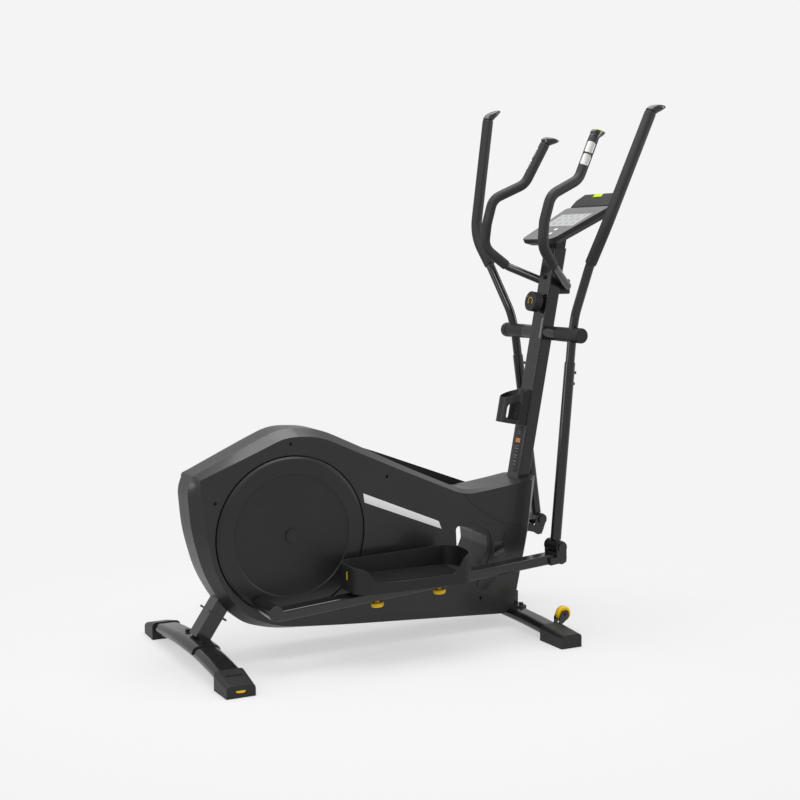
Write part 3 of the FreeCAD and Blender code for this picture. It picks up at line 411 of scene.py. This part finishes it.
def hose(bm, line, radii, segments=40, close=True):
    """A round skin along a line, one extrusion per step; radii is one number or one per point."""
    if isinstance(radii, float):
        radii = [radii] * len(line)
    ring = bmesh.ops.create_circle(bm, cap_ends=False, segments=segments, radius=radii[0])["verts"]
    way = (line[1] - line[0]).normalized()
    turn = Vector((0, 0, 1)).rotation_difference(way).to_matrix().to_4x4()
    bmesh.ops.transform(bm, matrix=Matrix.Translation(line[0]) @ turn, verts=ring)
    edges = list({e for v in ring for e in v.link_edges})
    if close:
        bmesh.ops.edgeloop_fill(bm, edges=edges)
    for i in range(1, len(line)):
        nxt = line[i] - line[i - 1] if i == len(line) - 1 else line[i + 1] - line[i - 1]
        nxt.normalize()
        made = bmesh.ops.extrude_edge_only(bm, edges=edges)["geom"]
        ring = [g for g in made if isinstance(g, bmesh.types.BMVert)]
        edges = [g for g in made if isinstance(g, bmesh.types.BMEdge)]
        bmesh.ops.translate(bm, verts=ring, vec=line[i] - line[i - 1])
        spin = way.rotation_difference(nxt).to_matrix()
        bmesh.ops.rotate(bm, cent=line[i], matrix=spin, verts=ring)
        ratio = radii[i] / radii[i - 1]
        bmesh.ops.scale(bm, vec=(ratio, ratio, ratio), space=Matrix.Translation(-line[i]), verts=ring)
        way = nxt
    if close:
        bmesh.ops.edgeloop_fill(bm, edges=edges)
    return ring


def ring_place(centre, forward, normal, rx, ry):
    """Matrix that carries a unit circle to an ellipse with this centre, long direction and normal."""
    n = Vector(normal).normalized()
    x = (Vector(forward) - n * Vector(forward).dot(n)).normalized()
    y = n.cross(x)
    return Matrix(((x.x * rx, y.x * ry, n.x, centre[0]), (x.y * rx, y.y * ry, n.y, centre[1]),
                   (x.z * rx, y.z * ry, n.z, centre[2]), (0, 0, 0, 1)))


def skin(bm, places, segments=24, close=True):
    """A skin through a run of placed circles, closed at both ends unless it runs back into itself."""
    ring = bmesh.ops.create_circle(bm, cap_ends=False, segments=segments, radius=1.0)["verts"]
    bmesh.ops.transform(bm, matrix=places[0], verts=ring)
    edges = list({e for v in ring for e in v.link_edges})
    if close:
        bmesh.ops.edgeloop_fill(bm, edges=edges)
    for before, after in zip(places, places[1:]):
        made = bmesh.ops.extrude_edge_only(bm, edges=edges)["geom"]
        ring = [g for g in made if isinstance(g, bmesh.types.BMVert)]
        edges = [g for g in made if isinstance(g, bmesh.types.BMEdge)]
        bmesh.ops.transform(bm, matrix=after @ before.inverted(), verts=ring)
    if close:
        bmesh.ops.edgeloop_fill(bm, edges=edges)
    return ring


def swing_matrix(side):
    spin = Matrix.Rotation(-side * SWING, 4, "Y")
    return Matrix.Translation(PIVOT) @ spin @ Matrix.Translation(-PIVOT)


def flip_y(bm):
    bmesh.ops.scale(bm, vec=(1, -1, 1), verts=bm.verts)


def plate(bm, outline, z0, z1, matrix=Matrix.Identity(4), bevel=0.0):
    """A flat-topped plate from an outline, with softened edges, put in place by a matrix."""
    verts = [bm.verts.new((x, y, z0)) for x, y in outline]
    face = bm.faces.new(verts)
    made = bmesh.ops.extrude_face_region(bm, geom=[face])["geom"]
    top = [g for g in made if isinstance(g, bmesh.types.BMVert)]
    bmesh.ops.translate(bm, verts=top, vec=(0, 0, z1 - z0))
    everything = set(verts) | set(top)
    if bevel:
        edges = [e for e in bm.edges if set(e.verts) <= set(top)]
        cut = bmesh.ops.bevel(bm, geom=edges, offset=bevel, offset_type="OFFSET", segments=3, profile=0.5,
                              affect="EDGES", material=-1, clamp_overlap=True)
        everything |= set(cut["verts"])
    everything = [v for v in everything if v.is_valid]
    bmesh.ops.transform(bm, matrix=matrix, verts=everything)
    return everything


def everything(bm):
    return list(bm.verts) + list(bm.edges) + list(bm.faces)


def rounded_outline(x0, x1, y0, y1, r, count=6):
    out = []
    corners = ((x1 - r, y0 + r, -90), (x1 - r, y1 - r, 0), (x0 + r, y1 - r, 90), (x0 + r, y0 + r, 180))
    for cx, cy, start in corners:
        for k in range(count + 1):
            a = math.radians(start + 90 * k / count)
            out.append((cx + r * math.cos(a), cy + r * math.sin(a)))
    return out


CONSOLE_PLACE = (Matrix.Translation((1.198 - ORIGIN, 0, 1.237))
                 @ Matrix.Rotation(-CONSOLE_TURN, 4, "Y"))


def mast_place(z, y=0.0, out=0.0):
    """Local x and y lie across and along the mast's user-facing face, local z points off it."""
    face = Matrix(((0, 0, -1, 0), (1, 0, 0, 0), (0, 1, 0, 0), (0, 0, 0, 1)))
    spin = Matrix.Rotation(MAST_LEAN, 4, "Y")
    return Matrix.Translation((mast_face(z), y, z)) @ spin @ Matrix.Translation((-out, 0, 0)) @ face


# ---------------------------------------------------------------- operators
class TRAINER_OT_frame(bpy.types.Operator):
    """Paint the welded frame, the feet, the mast and the pivot"""
    bl_idname = "trainer.frame"
    bl_label = "Frame and feet"

    def execute(self, context):
        dress(tube_paint(), "main_frame", "rear_stabiliser", "front_stabiliser", "mast", "pivot_tube",
              "fixed_handlebar", "wheel_brackets")
        dress(black_plastic(), "end_caps", "handlebar_clamp")
        dress(accent_plastic(), "transport_wheel_right", "transport_wheel_left", "levelling_dial_right",
              "levelling_dial_left")
        dress(dark_steel(), "fasteners")
        return {"FINISHED"}


class TRAINER_OT_drive(bpy.types.Operator):
    """Finish the crank, its discs, the flywheel, the belt and the brake"""
    bl_idname = "trainer.drive"
    bl_label = "Drive"

    def execute(self, context):
        dress(disc_plastic(), "crank_discs")
        dress(black_plastic(), "drive_pulley")
        dress(steel(), "crank_axle", "crank_bearings", "idler_roller")
        dress(dark_steel(), "crank_arms", "brake_unit")
        dress(iron(), "flywheel")
        dress(foam_rubber(), "drive_belt")
        bm = bmesh.new()
        places = []
        for r, y in ((0.182, 0.0921), (0.183, 0.0928), (0.224, 0.0928), (0.2255, 0.0921), (0.182, 0.0921)):
            places.append(ring_place((CRANK.x, y, CRANK.z), (1, 0, 0), (0, 1, 0), r, r))
        skin(bm, places, 128, False)
        bmesh.ops.mirror(bm, geom=list(bm.verts) + list(bm.edges) + list(bm.faces), axis="Y", merge_dist=1e-6)
        keep("disc_rings", bm, "crank", disc_rim(), 25)
        return {"FINISHED"}


WINDOW_BAND = [(0.893, 0.352, 14), (1.024, 0.330, 26), (1.046, 0.292, 20), (1.041, 0.238, 60),
               (0.998, 0.158, 40), (0.962, 0.127, 20), (0.930, 0.146, 14), (0.962, 0.200, 50),
               (0.990, 0.262, 34), (0.978, 0.318, 30), (0.932, 0.344, 16)]
# The outline below is a dark glossy patch raised inside each window band: painted shade and reflection on the
# casing side, not a part of the casing.
WINDOW_PAINTED_SHADE = [(0.999, 0.281, 6), (1.035, 0.283, 8), (1.033, 0.247, 8), (0.991, 0.232, 6)]


def soften(corners, count=5):
    """Corner points with a radius in millimetres each, turned into a smooth outline."""
    out = []
    for i, (x, y, r) in enumerate(corners):
        here = Vector((x, y))
        a = Vector(corners[i - 1][:2]) - here
        b = Vector(corners[(i + 1) % len(corners)][:2]) - here
        half = a.angle(b) / 2
        reach = min(r * 0.001 / math.tan(half), a.length * 0.45, b.length * 0.45)
        start = here + a.normalized() * reach
        stop = here + b.normalized() * reach
        for k in range(count + 1):
            t = k / count
            out.append(tuple(start.lerp(here, t).lerp(here.lerp(stop, t), t)))
    return out


class TRAINER_OT_casing(bpy.types.Operator):
    """Finish the casing shells and the shroud round the mast, and add the window band and a patch of painted
    shade and reflection beside the window
    """
    bl_idname = "trainer.casing"
    bl_label = "Casing"

    def execute(self, context):
        dress(casing_plastic(), "casing_right", "casing_left", "front_shroud")
        stand = Matrix(((1, 0, 0, -ORIGIN), (0, 0, -1, 0), (0, 1, 0, 0), (0, 0, 0, 1)))
        # The second plate is the dark glossy patch of painted shade and reflection beside the window.
        for name, outline, mat, slot, high in (
                ("window_band", WINDOW_BAND, casing_plastic(), "casing_plastic", 0.0026),
                ("window_painted_shade", WINDOW_PAINTED_SHADE, gloss_plastic(), "gloss_plastic", 0.0032)):
            bm = bmesh.new()
            plate(bm, soften(outline), 0.0850 if high < 0.003 else 0.0874, 0.0850 + high, stand, high * 0.42)
            bmesh.ops.mirror(bm, geom=everything(bm), axis="Y", merge_dist=1e-6)
            keep(name, bm, "frame", mat, 30)
        return {"FINISHED"}


class TRAINER_OT_arms(bpy.types.Operator):
    """Paint the swinging arms and the pedal arms"""
    bl_idname = "trainer.arms"
    bl_label = "Swinging and pedal arms"

    def execute(self, context):
        for side in ("right", "left"):
            dress(tube_paint(), "swing_upper_" + side, "swing_lower_" + side, "pedal_arm_" + side)
            dress(black_plastic(), "swing_hub_" + side)
            dress(gloss_plastic(), "swing_cap_" + side)
            dress(tread_rubber(), "footplate_" + side)
            dress(accent_plastic(), "knob_front_" + side, "knob_rear_" + side)
            for name, body, mat, slot, builder in (
                    ("reach_scale_", "pedal_", print_white(), "white_print", arm_ticks),
                    ("reach_mark_", "plate_", accent_plastic(), "yellow_plastic", tray_mark)):
                bm = bmesh.new()
                builder(bm)
                if side == "left":
                    flip_y(bm)
                    bmesh.ops.transform(bm, matrix=LEFT_ARM, verts=bm.verts)
                keep(name + side, bm, body + side, mat)
        return {"FINISHED"}


# the right pedal arm's front and rear joints, and the turn that carries its pieces to the left arm
RIGHT_JOINT = Vector((1.15259 - ORIGIN, 0.0, 0.27577))
LEFT_JOINT = Vector((1.33902 - ORIGIN, 0.0, 0.28138))
LEFT_ARM = (Matrix.Translation(LEFT_JOINT) @ Matrix.Rotation(math.radians(22.3093), 4, "Y")
            @ Matrix.Translation(-RIGHT_JOINT))
ARM_SLOPE = math.atan2(0.073152, 0.926363)
# the right arm's centre line starts at this x and height, and rises by this much per metre
ARM_START_X = 0.204852
ARM_START_Z = 0.165853
ARM_RISE = 0.0789669
ARM_HALF_HEIGHT = 0.01505
SCALE_SINK = 0.0025


def arm_top(x):
    middle = ARM_START_Z + ARM_RISE * (x - ARM_START_X)
    return middle + ARM_HALF_HEIGHT / math.cos(ARM_SLOPE) - SCALE_SINK


def arm_ticks(bm):
    for k in range(9):
        x = 0.345 + 0.008 * k
        place = Matrix.Translation((x - ORIGIN, -0.200, arm_top(x))) @ Matrix.Rotation(-ARM_SLOPE, 4, "Y")
        half = 0.0075 if k % 4 == 0 else 0.0045
        plate(bm, [(-0.0006, -half), (0.0006, -half), (0.0006, half), (-0.0006, half)], 0.0001, 0.0004, place)


def tray_mark(bm):
    place = Matrix(((0, 0, -1, 0.425 - ORIGIN), (1, 0, 0, -0.2075), (0, -1, 0, 0.258), (0, 0, 0, 1)))
    plate(bm, rounded_outline(-0.0022, 0.0022, -0.012, 0.012, 0.001), 0.0, 0.0006, place)


SWING_LINE = [(1.206, 0.245, 1.152), (1.198, 0.312, 1.262), (1.304, 0.319, 1.638)]
FIXED_LINE = [(1.319, 0.140, 1.554), (1.252, 0.156, 1.422), (1.139, 0.173, 1.370), (1.116, 0.1725, 1.290),
              (1.108, 0.176, 1.212), (1.175, 0.139, 1.150)]
FIXED_BENDS = [0, 0.060, 0.055, 0.060, 0.055, 0]


def shifted_line(points):
    return [Vector((x - ORIGIN, y, z)) for x, y, z in points]


def grip_radii(count, radius):
    """Full radius along the grip with a soft roll at each end."""
    radii = [radius] * count
    for k, f in enumerate((0.90, 0.955, 0.985)):
        radii[k] = radius * f
        radii[-1 - k] = radius * f
    return radii


def end_steps(line, step=0.0012):
    """Adds three close rings at each end of a line so the roll stays tight."""
    a, b = line[0], line[1]
    y, z = line[-2], line[-1]
    first = [a + (b - a).normalized() * step * k for k in (0, 1, 2.4, 4)]
    last = [z + (y - z).normalized() * step * k for k in (4, 2.4, 1, 0)]
    return first + line[1:-1] + last


class TRAINER_OT_grips(bpy.types.Operator):
    """Foam grips on the swinging arms and the fixed bar"""
    bl_idname = "trainer.grips"
    bl_label = "Foam grips"

    def execute(self, context):
        pts = shifted_line(SWING_LINE)
        pts[0] = pts[0] + (pts[1] - pts[0]) * 0.06
        line = end_steps(rounded_run(pts, [0, 0.190, 0]))
        for side, name in ((-1, "right"), (1, "left")):
            bm = bmesh.new()
            hose(bm, line, grip_radii(len(line), sizes().grip_radius))
            if side < 0:
                flip_y(bm)
            bmesh.ops.transform(bm, matrix=swing_matrix(side), verts=bm.verts)
            grip = keep("foam_grip_" + name, bm, "swing_" + name, foam_rubber(),
                        replaced=["swing_grip_" + name])
        bm = bmesh.new()
        pts = shifted_line(FIXED_LINE)
        pts[5] = pts[4] + (pts[5] - pts[4]) * 0.97
        line = end_steps(rounded_run(pts, FIXED_BENDS, 0.008))
        hose(bm, line, grip_radii(len(line), sizes().fixed_grip_radius))
        bmesh.ops.mirror(bm, geom=everything(bm), axis="Y", merge_dist=1e-5)
        grip = keep("foam_grips_fixed", bm, "frame", foam_rubber(), replaced=["fixed_grips"])
        return {"FINISHED"}


# shares of a grip end's rim taken by the floor of its hollow and by the pad in it
POCKET = (0.86, 0.80)
PAD = (0.83, 0.77)
# how far a fixed grip end leans out, its half sizes at the root and its half sizes at the rim
FIXED_HORN = ((0.012, -0.004, 0), 0.0235, 0.0163, 0.029, 0.0168)
FLARE = ((0.0, 0.0), (0.10, 0.04), (0.20, 0.18), (0.30, 0.46), (0.40, 0.78), (0.50, 0.96), (0.57, 1.0))
DOME = ((0.68, 0.98), (0.79, 0.91), (0.88, 0.79), (0.95, 0.61), (0.99, 0.38), (1.0, 0.15))


def horn(bm, tip, way, lean, forward, reach, root, long, short, pocket=0.0):
    """A thumb rest: a round root that swells forwards into a domed pad, or one with a pocket for a button."""
    up = Vector(lean).normalized()
    ahead = Vector((forward[0], forward[1], 0)).normalized()
    stretch = 1.55 if pocket else 1.0
    places = []

    def ring(share, rx, ry, lift=0.0):
        slide = min(1.0, share / (0.62 * stretch)) ** 1.3
        mid = tip + way * reach * share + Vector(forward) * slide + up * lift
        places.append(ring_place(mid, ahead, way.lerp(up, min(1.0, share / (0.5 * stretch))), rx, ry))

    for share, grow in FLARE:
        ring(share * stretch, root + (long - root) * grow, root + (short - root) * grow)
    if pocket:
        ring(0.97, long, short)
        ring(1.0, long * 0.96, short * 0.94)
        ring(1.0, long * POCKET[0], short * POCKET[1])
        ring(1.0, long * POCKET[0], short * POCKET[1], -pocket)
    else:
        for share, dome in DOME:
            ring(share, long * dome, short * dome)
    skin(bm, places, 32)
    return places[-1]


class TRAINER_OT_horns(bpy.types.Operator):
    """Thumb rests on top of the four grips, and the control button"""
    bl_idname = "trainer.horns"
    bl_label = "Grip ends"

    def execute(self, context):
        pts = shifted_line(SWING_LINE)
        way = (pts[2] - pts[1]).normalized()
        for side, name in ((-1, "right"), (1, "left")):
            bm = bmesh.new()
            horn(bm, pts[2] + way * 0.0003, way, (-0.18, 0, 1), (0.0150, 0, 0),
                 0.0285, 0.0178, 0.0335, 0.0180)
            if side < 0:
                flip_y(bm)
            bmesh.ops.transform(bm, matrix=swing_matrix(side), verts=bm.verts)
            keep("grip_end_" + name, bm, "swing_" + name, gloss_plastic(), 60, 1,
                 ["swing_cap_" + name])
        pts = shifted_line(FIXED_LINE)
        way = (pts[0] - pts[1]).normalized()
        lean = (way.x * 0.4, way.y * 0.4, 1)
        bm = bmesh.new()
        horn(bm, pts[0] + way * 0.0003, way, lean, *FIXED_HORN)
        keep("fixed_end_left", bm, "frame", gloss_plastic(), 60, 1, ["fixed_caps"])
        bm = bmesh.new()
        spin = Matrix.Rotation(math.radians(205), 3, way)
        across = spin @ Vector((0.0, 1.0, 0.0)).cross(way).normalized()
        spot = pts[0] + way * 0.007 + across * 0.0158
        cone = bmesh.ops.create_cone(bm, cap_ends=True, segments=24,
                                     radius1=0.0042, radius2=0.0036, depth=0.002)
        turn = Vector((0, 0, 1)).rotation_difference(across).to_matrix().to_4x4()
        bmesh.ops.transform(bm, matrix=Matrix.Translation(spot) @ turn, verts=cone["verts"])
        keep("fixed_end_screw", bm, "frame", dark_steel(), replaced=["fixed_caps"])
        bm = bmesh.new()
        floor = horn(bm, pts[0] + way * 0.0003, way, lean, *FIXED_HORN, 0.0036)
        flip_y(bm)
        keep("fixed_end_right", bm, "frame", gloss_plastic(), 40, 0, ["fixed_caps"])
        bm = bmesh.new()
        unit = Matrix.Diagonal((1 / POCKET[0] * PAD[0], 1 / POCKET[1] * PAD[1], 1, 1))
        places = []
        for lift, grow in ((0.0017, 0.94), (0.0019, 0.99), (0.0030, 1.0), (0.0056, 0.99), (0.0068, 0.93),
                           (0.0073, 0.76), (0.0076, 0.4)):
            raised = floor @ Matrix.Translation((0, 0, lift))
            places.append(raised @ unit @ Matrix.Diagonal((grow, grow, 1, 1)))
        skin(bm, places, 32)
        flip_y(bm)
        keep("control_pad", bm, "button", lime_plastic(), 40, 0, ["lime_button"])
        return {"FINISHED"}


class TRAINER_OT_console(bpy.types.Operator):
    """Finish the console, its display and its keys"""
    bl_idname = "trainer.console"
    bl_label = "Console"

    def execute(self, context):
        dress(black_plastic(), "console_housing", "tablet_rest")
        dress(face_film(), "console_face")
        dress(screen_film(), "console_screen")
        dress(print_white(), "console_key_1", "console_key_2", "console_key_3", "console_key_4")
        bm = bmesh.new()
        edge = [(0.2731, 0.0142), (0.2864, 0.0188), (0.2901, 0.0140), (0.2826, 0.0052), (0.2790, 0.0085)]
        stand = CONSOLE_PLACE @ Matrix(((1, 0, 0, 0), (0, 0, -1, 0), (0, 1, 0, 0), (0, 0, 0, 1)))
        plate(bm, edge, -0.0236, 0.0236, stand, 0.0008)
        keep("rest_insert", bm, "frame", lime_plastic(), 30)
        bm = bmesh.new()
        for x0, x1, y0, y1 in ((0.0905, 0.0915, -0.0882, 0.0882), (0.1885, 0.1895, -0.0882, 0.0882),
                               (0.0905, 0.1895, -0.0892, -0.0882), (0.0905, 0.1895, 0.0882, 0.0892)):
            plate(bm, [(x0, y0), (x1, y0), (x1, y1), (x0, y1)], 0.0001, 0.0003, CONSOLE_PLACE)
        plate(bm, rounded_outline(0.1770, 0.1872, -0.0850, 0.0850, 0.001), -0.00015, 0.0, CONSOLE_PLACE)
        keep("screen_border", bm, "frame", print_grey())
        bm = bmesh.new()
        for row, x in enumerate((0.106, 0.132, 0.158)):
            for k in range(4):
                y = -0.066 + k * 0.036 + (0.006 if row == 1 else 0.0)
                tall = 0.011 if row != 1 else 0.015
                bars = ((0, 0.0012, 0, 0.008), (tall / 2, tall / 2 + 0.0012, 0, 0.008),
                        (tall - 0.0012, tall, 0, 0.008), (0, tall, 0, 0.0012), (0, tall, 0.0068, 0.008))
                for a, b, c, d in bars:
                    plate(bm, [(x + a, y + c), (x + b, y + c), (x + b, y + d), (x + a, y + d)],
                          -0.00018, -0.00006, CONSOLE_PLACE)
        keep("screen_marks", bm, "frame", print_grey(), 30)
        return {"FINISHED"}


class TRAINER_OT_controls(bpy.types.Operator):
    """Finish the end caps, control button, sensor plates, dial and bottle cage"""
    bl_idname = "trainer.controls"
    bl_label = "Controls and bottle cage"

    def execute(self, context):
        dress(gloss_plastic(), "fixed_caps")
        dress(lime_plastic(), "lime_button")
        dress(sensor_steel(), "pulse_plates")
        dress(black_plastic(), "tension_dial", "bottle_cage")
        bm = bmesh.new()
        face = mast_place(1.032, 0.0, 0.0401)
        turns = [math.radians(-20 + 11 * k) for k in range(21)]
        for a, b in zip(turns, turns[1:]):
            spots = ((0.0112, a), (0.0128, a), (0.0128, b), (0.0112, b))
            ring = [(r * math.cos(t), r * math.sin(t)) for r, t in spots]
            plate(bm, ring, 0.0, 0.0004, face)
        for t, way in ((turns[0], -1), (turns[-1], 1)):
            tip = t + way * 0.34
            arrow = [(r * math.cos(turn), r * math.sin(turn))
                     for r, turn in ((0.0096, t), (0.0144, t), (0.0120, tip))]
            plate(bm, arrow, 0.0, 0.0004, face)
        plate(bm, [(0.0015 * math.cos(a) + 0.0185, 0.0015 * math.sin(a) + 0.0150) for a in
                   [math.radians(30 * k) for k in range(12)]], 0.0, 0.0004, face)
        keep("dial_mark", bm, "dial", accent_plastic())
        return {"FINISHED"}


class TRAINER_OT_labels(bpy.types.Operator):
    """Blank side stripes, mast strip and label"""
    bl_idname = "trainer.labels"
    bl_label = "Stripes and labels"

    def execute(self, context):
        bm = bmesh.new()
        low = 0.0851
        outline = [(0.537, 0.473), (0.796, 0.366), (0.806, 0.341), (0.541, 0.445)]
        stand = Matrix(((1, 0, 0, -ORIGIN), (0, 0, -1, 0), (0, 1, 0, 0), (0, 0, 0, 1)))
        plate(bm, outline, low, low + 0.0004, stand, 0.0001)
        bmesh.ops.mirror(bm, geom=everything(bm), axis="Y", merge_dist=1e-5)
        keep("side_stripes", bm, "frame", print_white(), replaced=["labels"])
        bm = bmesh.new()
        plate(bm, rounded_outline(-0.031, -0.023, -0.033, 0.033, 0.002), 0.0001, 0.0008,
              mast_place(0.953), 0.0002)
        keep("mast_strip", bm, "frame", print_grey(), replaced=["labels"])
        bm = bmesh.new()
        plate(bm, rounded_outline(-0.022, 0.022, -0.075, 0.075, 0.003), 0.0001, 0.0004,
              mast_place(0.560), 0.0001)
        keep("mast_label", bm, "frame", label_film(), replaced=["labels"])
        bm = bmesh.new()
        plate(bm, rounded_outline(-0.013, 0.013, 0.022, 0.036, 0.001), 0.0004, 0.0006, mast_place(0.560))
        keep("mast_label_patch", bm, "frame", print_orange(), replaced=["labels"])
        bm = bmesh.new()
        for y, half in ((0.058, 0.006), (0.052, 0.009), (0.010, 0.007), (0.002, 0.011), (-0.008, 0.005),
                        (-0.020, 0.009), (-0.028, 0.006), (-0.040, 0.010), (-0.050, 0.007)):
            plate(bm, rounded_outline(-half, half, y - 0.0011, y + 0.0011, 0.0005, 2), 0.0004, 0.0006,
                  mast_place(0.560))
        keep("mast_label_marks", bm, "frame", print_grey(), replaced=["labels"])
        return {"FINISHED"}


class TRAINER_OT_stage(bpy.types.Operator):
    """Pale floor and backdrop, soft studio lights and the camera"""
    bl_idname = "trainer.stage"
    bl_label = "Studio"

    def execute(self, context):
        scene = context.scene
        bm = bmesh.new()
        bmesh.ops.create_grid(bm, x_segments=1, y_segments=1, size=30.0)
        mesh = bpy.data.meshes.new("studio_floor")
        bm.to_mesh(mesh)
        bm.free()
        floor = bpy.data.objects.new("studio_floor", mesh)
        scene.collection.objects.link(floor)
        paper = bpy.data.materials.new("Studio paper")
        paper.use_nodes = True
        tree = paper.node_tree
        shader = tree.nodes["Principled BSDF"]
        shader.inputs["Base Color"].default_value = (0.80, 0.80, 0.80, 1)
        shader.inputs["Roughness"].default_value = 0.9
        shader.inputs["Specular IOR Level"].default_value = 0.1
        coords = tree.nodes.new("ShaderNodeTexCoord")
        length = tree.nodes.new("ShaderNodeVectorMath")
        length.operation = "LENGTH"
        tree.links.new(coords.outputs["Object"], length.inputs[0])
        fade = tree.nodes.new("ShaderNodeMapRange")
        fade.interpolation_type = "SMOOTHERSTEP"
        fade.inputs["From Min"].default_value = 0.75
        fade.inputs["From Max"].default_value = 1.9
        fade.inputs["To Min"].default_value = 0.42
        fade.inputs["To Max"].default_value = 0.0
        tree.links.new(length.outputs["Value"], fade.inputs["Value"])
        tree.links.new(fade.outputs["Result"], shader.inputs["Alpha"])
        mesh.materials.append(paper)
        world = bpy.data.worlds.new("Studio")
        scene.world = world
        world.use_nodes = True
        tree = world.node_tree
        back = tree.nodes["Background"]
        back.inputs["Color"].default_value = (1.0, 1.0, 1.0, 1)
        back.inputs["Strength"].default_value = 0.50
        seen = tree.nodes.new("ShaderNodeBackground")
        seen.inputs["Color"].default_value = (0.905, 0.905, 0.905, 1)
        path = tree.nodes.new("ShaderNodeLightPath")
        blend = tree.nodes.new("ShaderNodeMixShader")
        tree.links.new(path.outputs["Is Camera Ray"], blend.inputs[0])
        tree.links.new(back.outputs[0], blend.inputs[1])
        tree.links.new(seen.outputs[0], blend.inputs[2])
        tree.links.new(blend.outputs[0], tree.nodes["World Output"].inputs["Surface"])
        aim = Vector((0.0, 0.0, 0.6))
        for name, place, width, height, power in (
                ("key_panel", (-2.4, -3.4, 3.6), 1.6, 2.4, 46.0),
                ("top_panel", (0.2, 0.4, 4.6), 3.6, 3.6, 135.0),
                ("front_panel", (3.8, -1.6, 2.2), 0.7, 3.0, 34.0),
                ("rear_panel", (-3.8, 0.8, 2.0), 0.9, 3.0, 30.0)):
            lamp = bpy.data.lights.new(name, "AREA")
            lamp.shape = "RECTANGLE"
            lamp.size = width
            lamp.size_y = height
            lamp.energy = power
            obj = bpy.data.objects.new(name, lamp)
            obj.location = place
            obj.rotation_euler = (aim - Vector(place)).to_track_quat("-Z", "Y").to_euler()
            scene.collection.objects.link(obj)
        eye = bpy.data.cameras.new("stage_camera")
        eye.lens = sizes().lens
        eye.sensor_width = 36.0
        camera = bpy.data.objects.new("stage_camera", eye)
        camera.location = (-1.2353 - ORIGIN, -3.7799, 1.1766)
        camera.rotation_euler = (math.radians(90 - 5.870), 0, math.radians(-27.170))
        scene.collection.objects.link(camera)
        scene.camera = camera
        scene.view_settings.view_transform = "Standard"
        scene.view_settings.look = "None"
        return {"FINISHED"}


STEPS = (TRAINER_OT_frame, TRAINER_OT_drive, TRAINER_OT_casing, TRAINER_OT_arms, TRAINER_OT_grips,
         TRAINER_OT_horns,
         TRAINER_OT_console, TRAINER_OT_controls, TRAINER_OT_labels, TRAINER_OT_stage)


class TRAINER_PT_panel(bpy.types.Panel):
    """Lists the settings and the building steps"""
    bl_idname = "TRAINER_PT_panel"
    bl_label = "Elliptical trainer"
    bl_space_type = "VIEW_3D"
    bl_region_type = "UI"
    bl_category = "Trainer"

    def draw(self, context):
        layout = self.layout
        for group in (context.scene.trainer_finishes, context.scene.trainer_sizes):
            for prop in group.bl_rna.properties:
                if prop.identifier not in ("rna_type", "name"):
                    layout.prop(group, prop.identifier)
        for step in STEPS:
            layout.operator(step.bl_idname)


CLASSES = (TRAINER_PG_finishes, TRAINER_PG_sizes) + STEPS + (TRAINER_PT_panel,)


def register():
    for cls in CLASSES:
        bpy.utils.register_class(cls)
    bpy.types.Scene.trainer_finishes = bpy.props.PointerProperty(type=TRAINER_PG_finishes)
    bpy.types.Scene.trainer_sizes = bpy.props.PointerProperty(type=TRAINER_PG_sizes)


def unregister():
    del bpy.types.Scene.trainer_sizes
    del bpy.types.Scene.trainer_finishes
    for cls in reversed(CLASSES):
        bpy.utils.unregister_class(cls)


def main():
    register()
    for step in STEPS:
        group, name = step.bl_idname.split(".")
        getattr(getattr(bpy.ops, group), name)()
    bpy.context.view_layer.update()


if __name__ == "__main__":
    main()
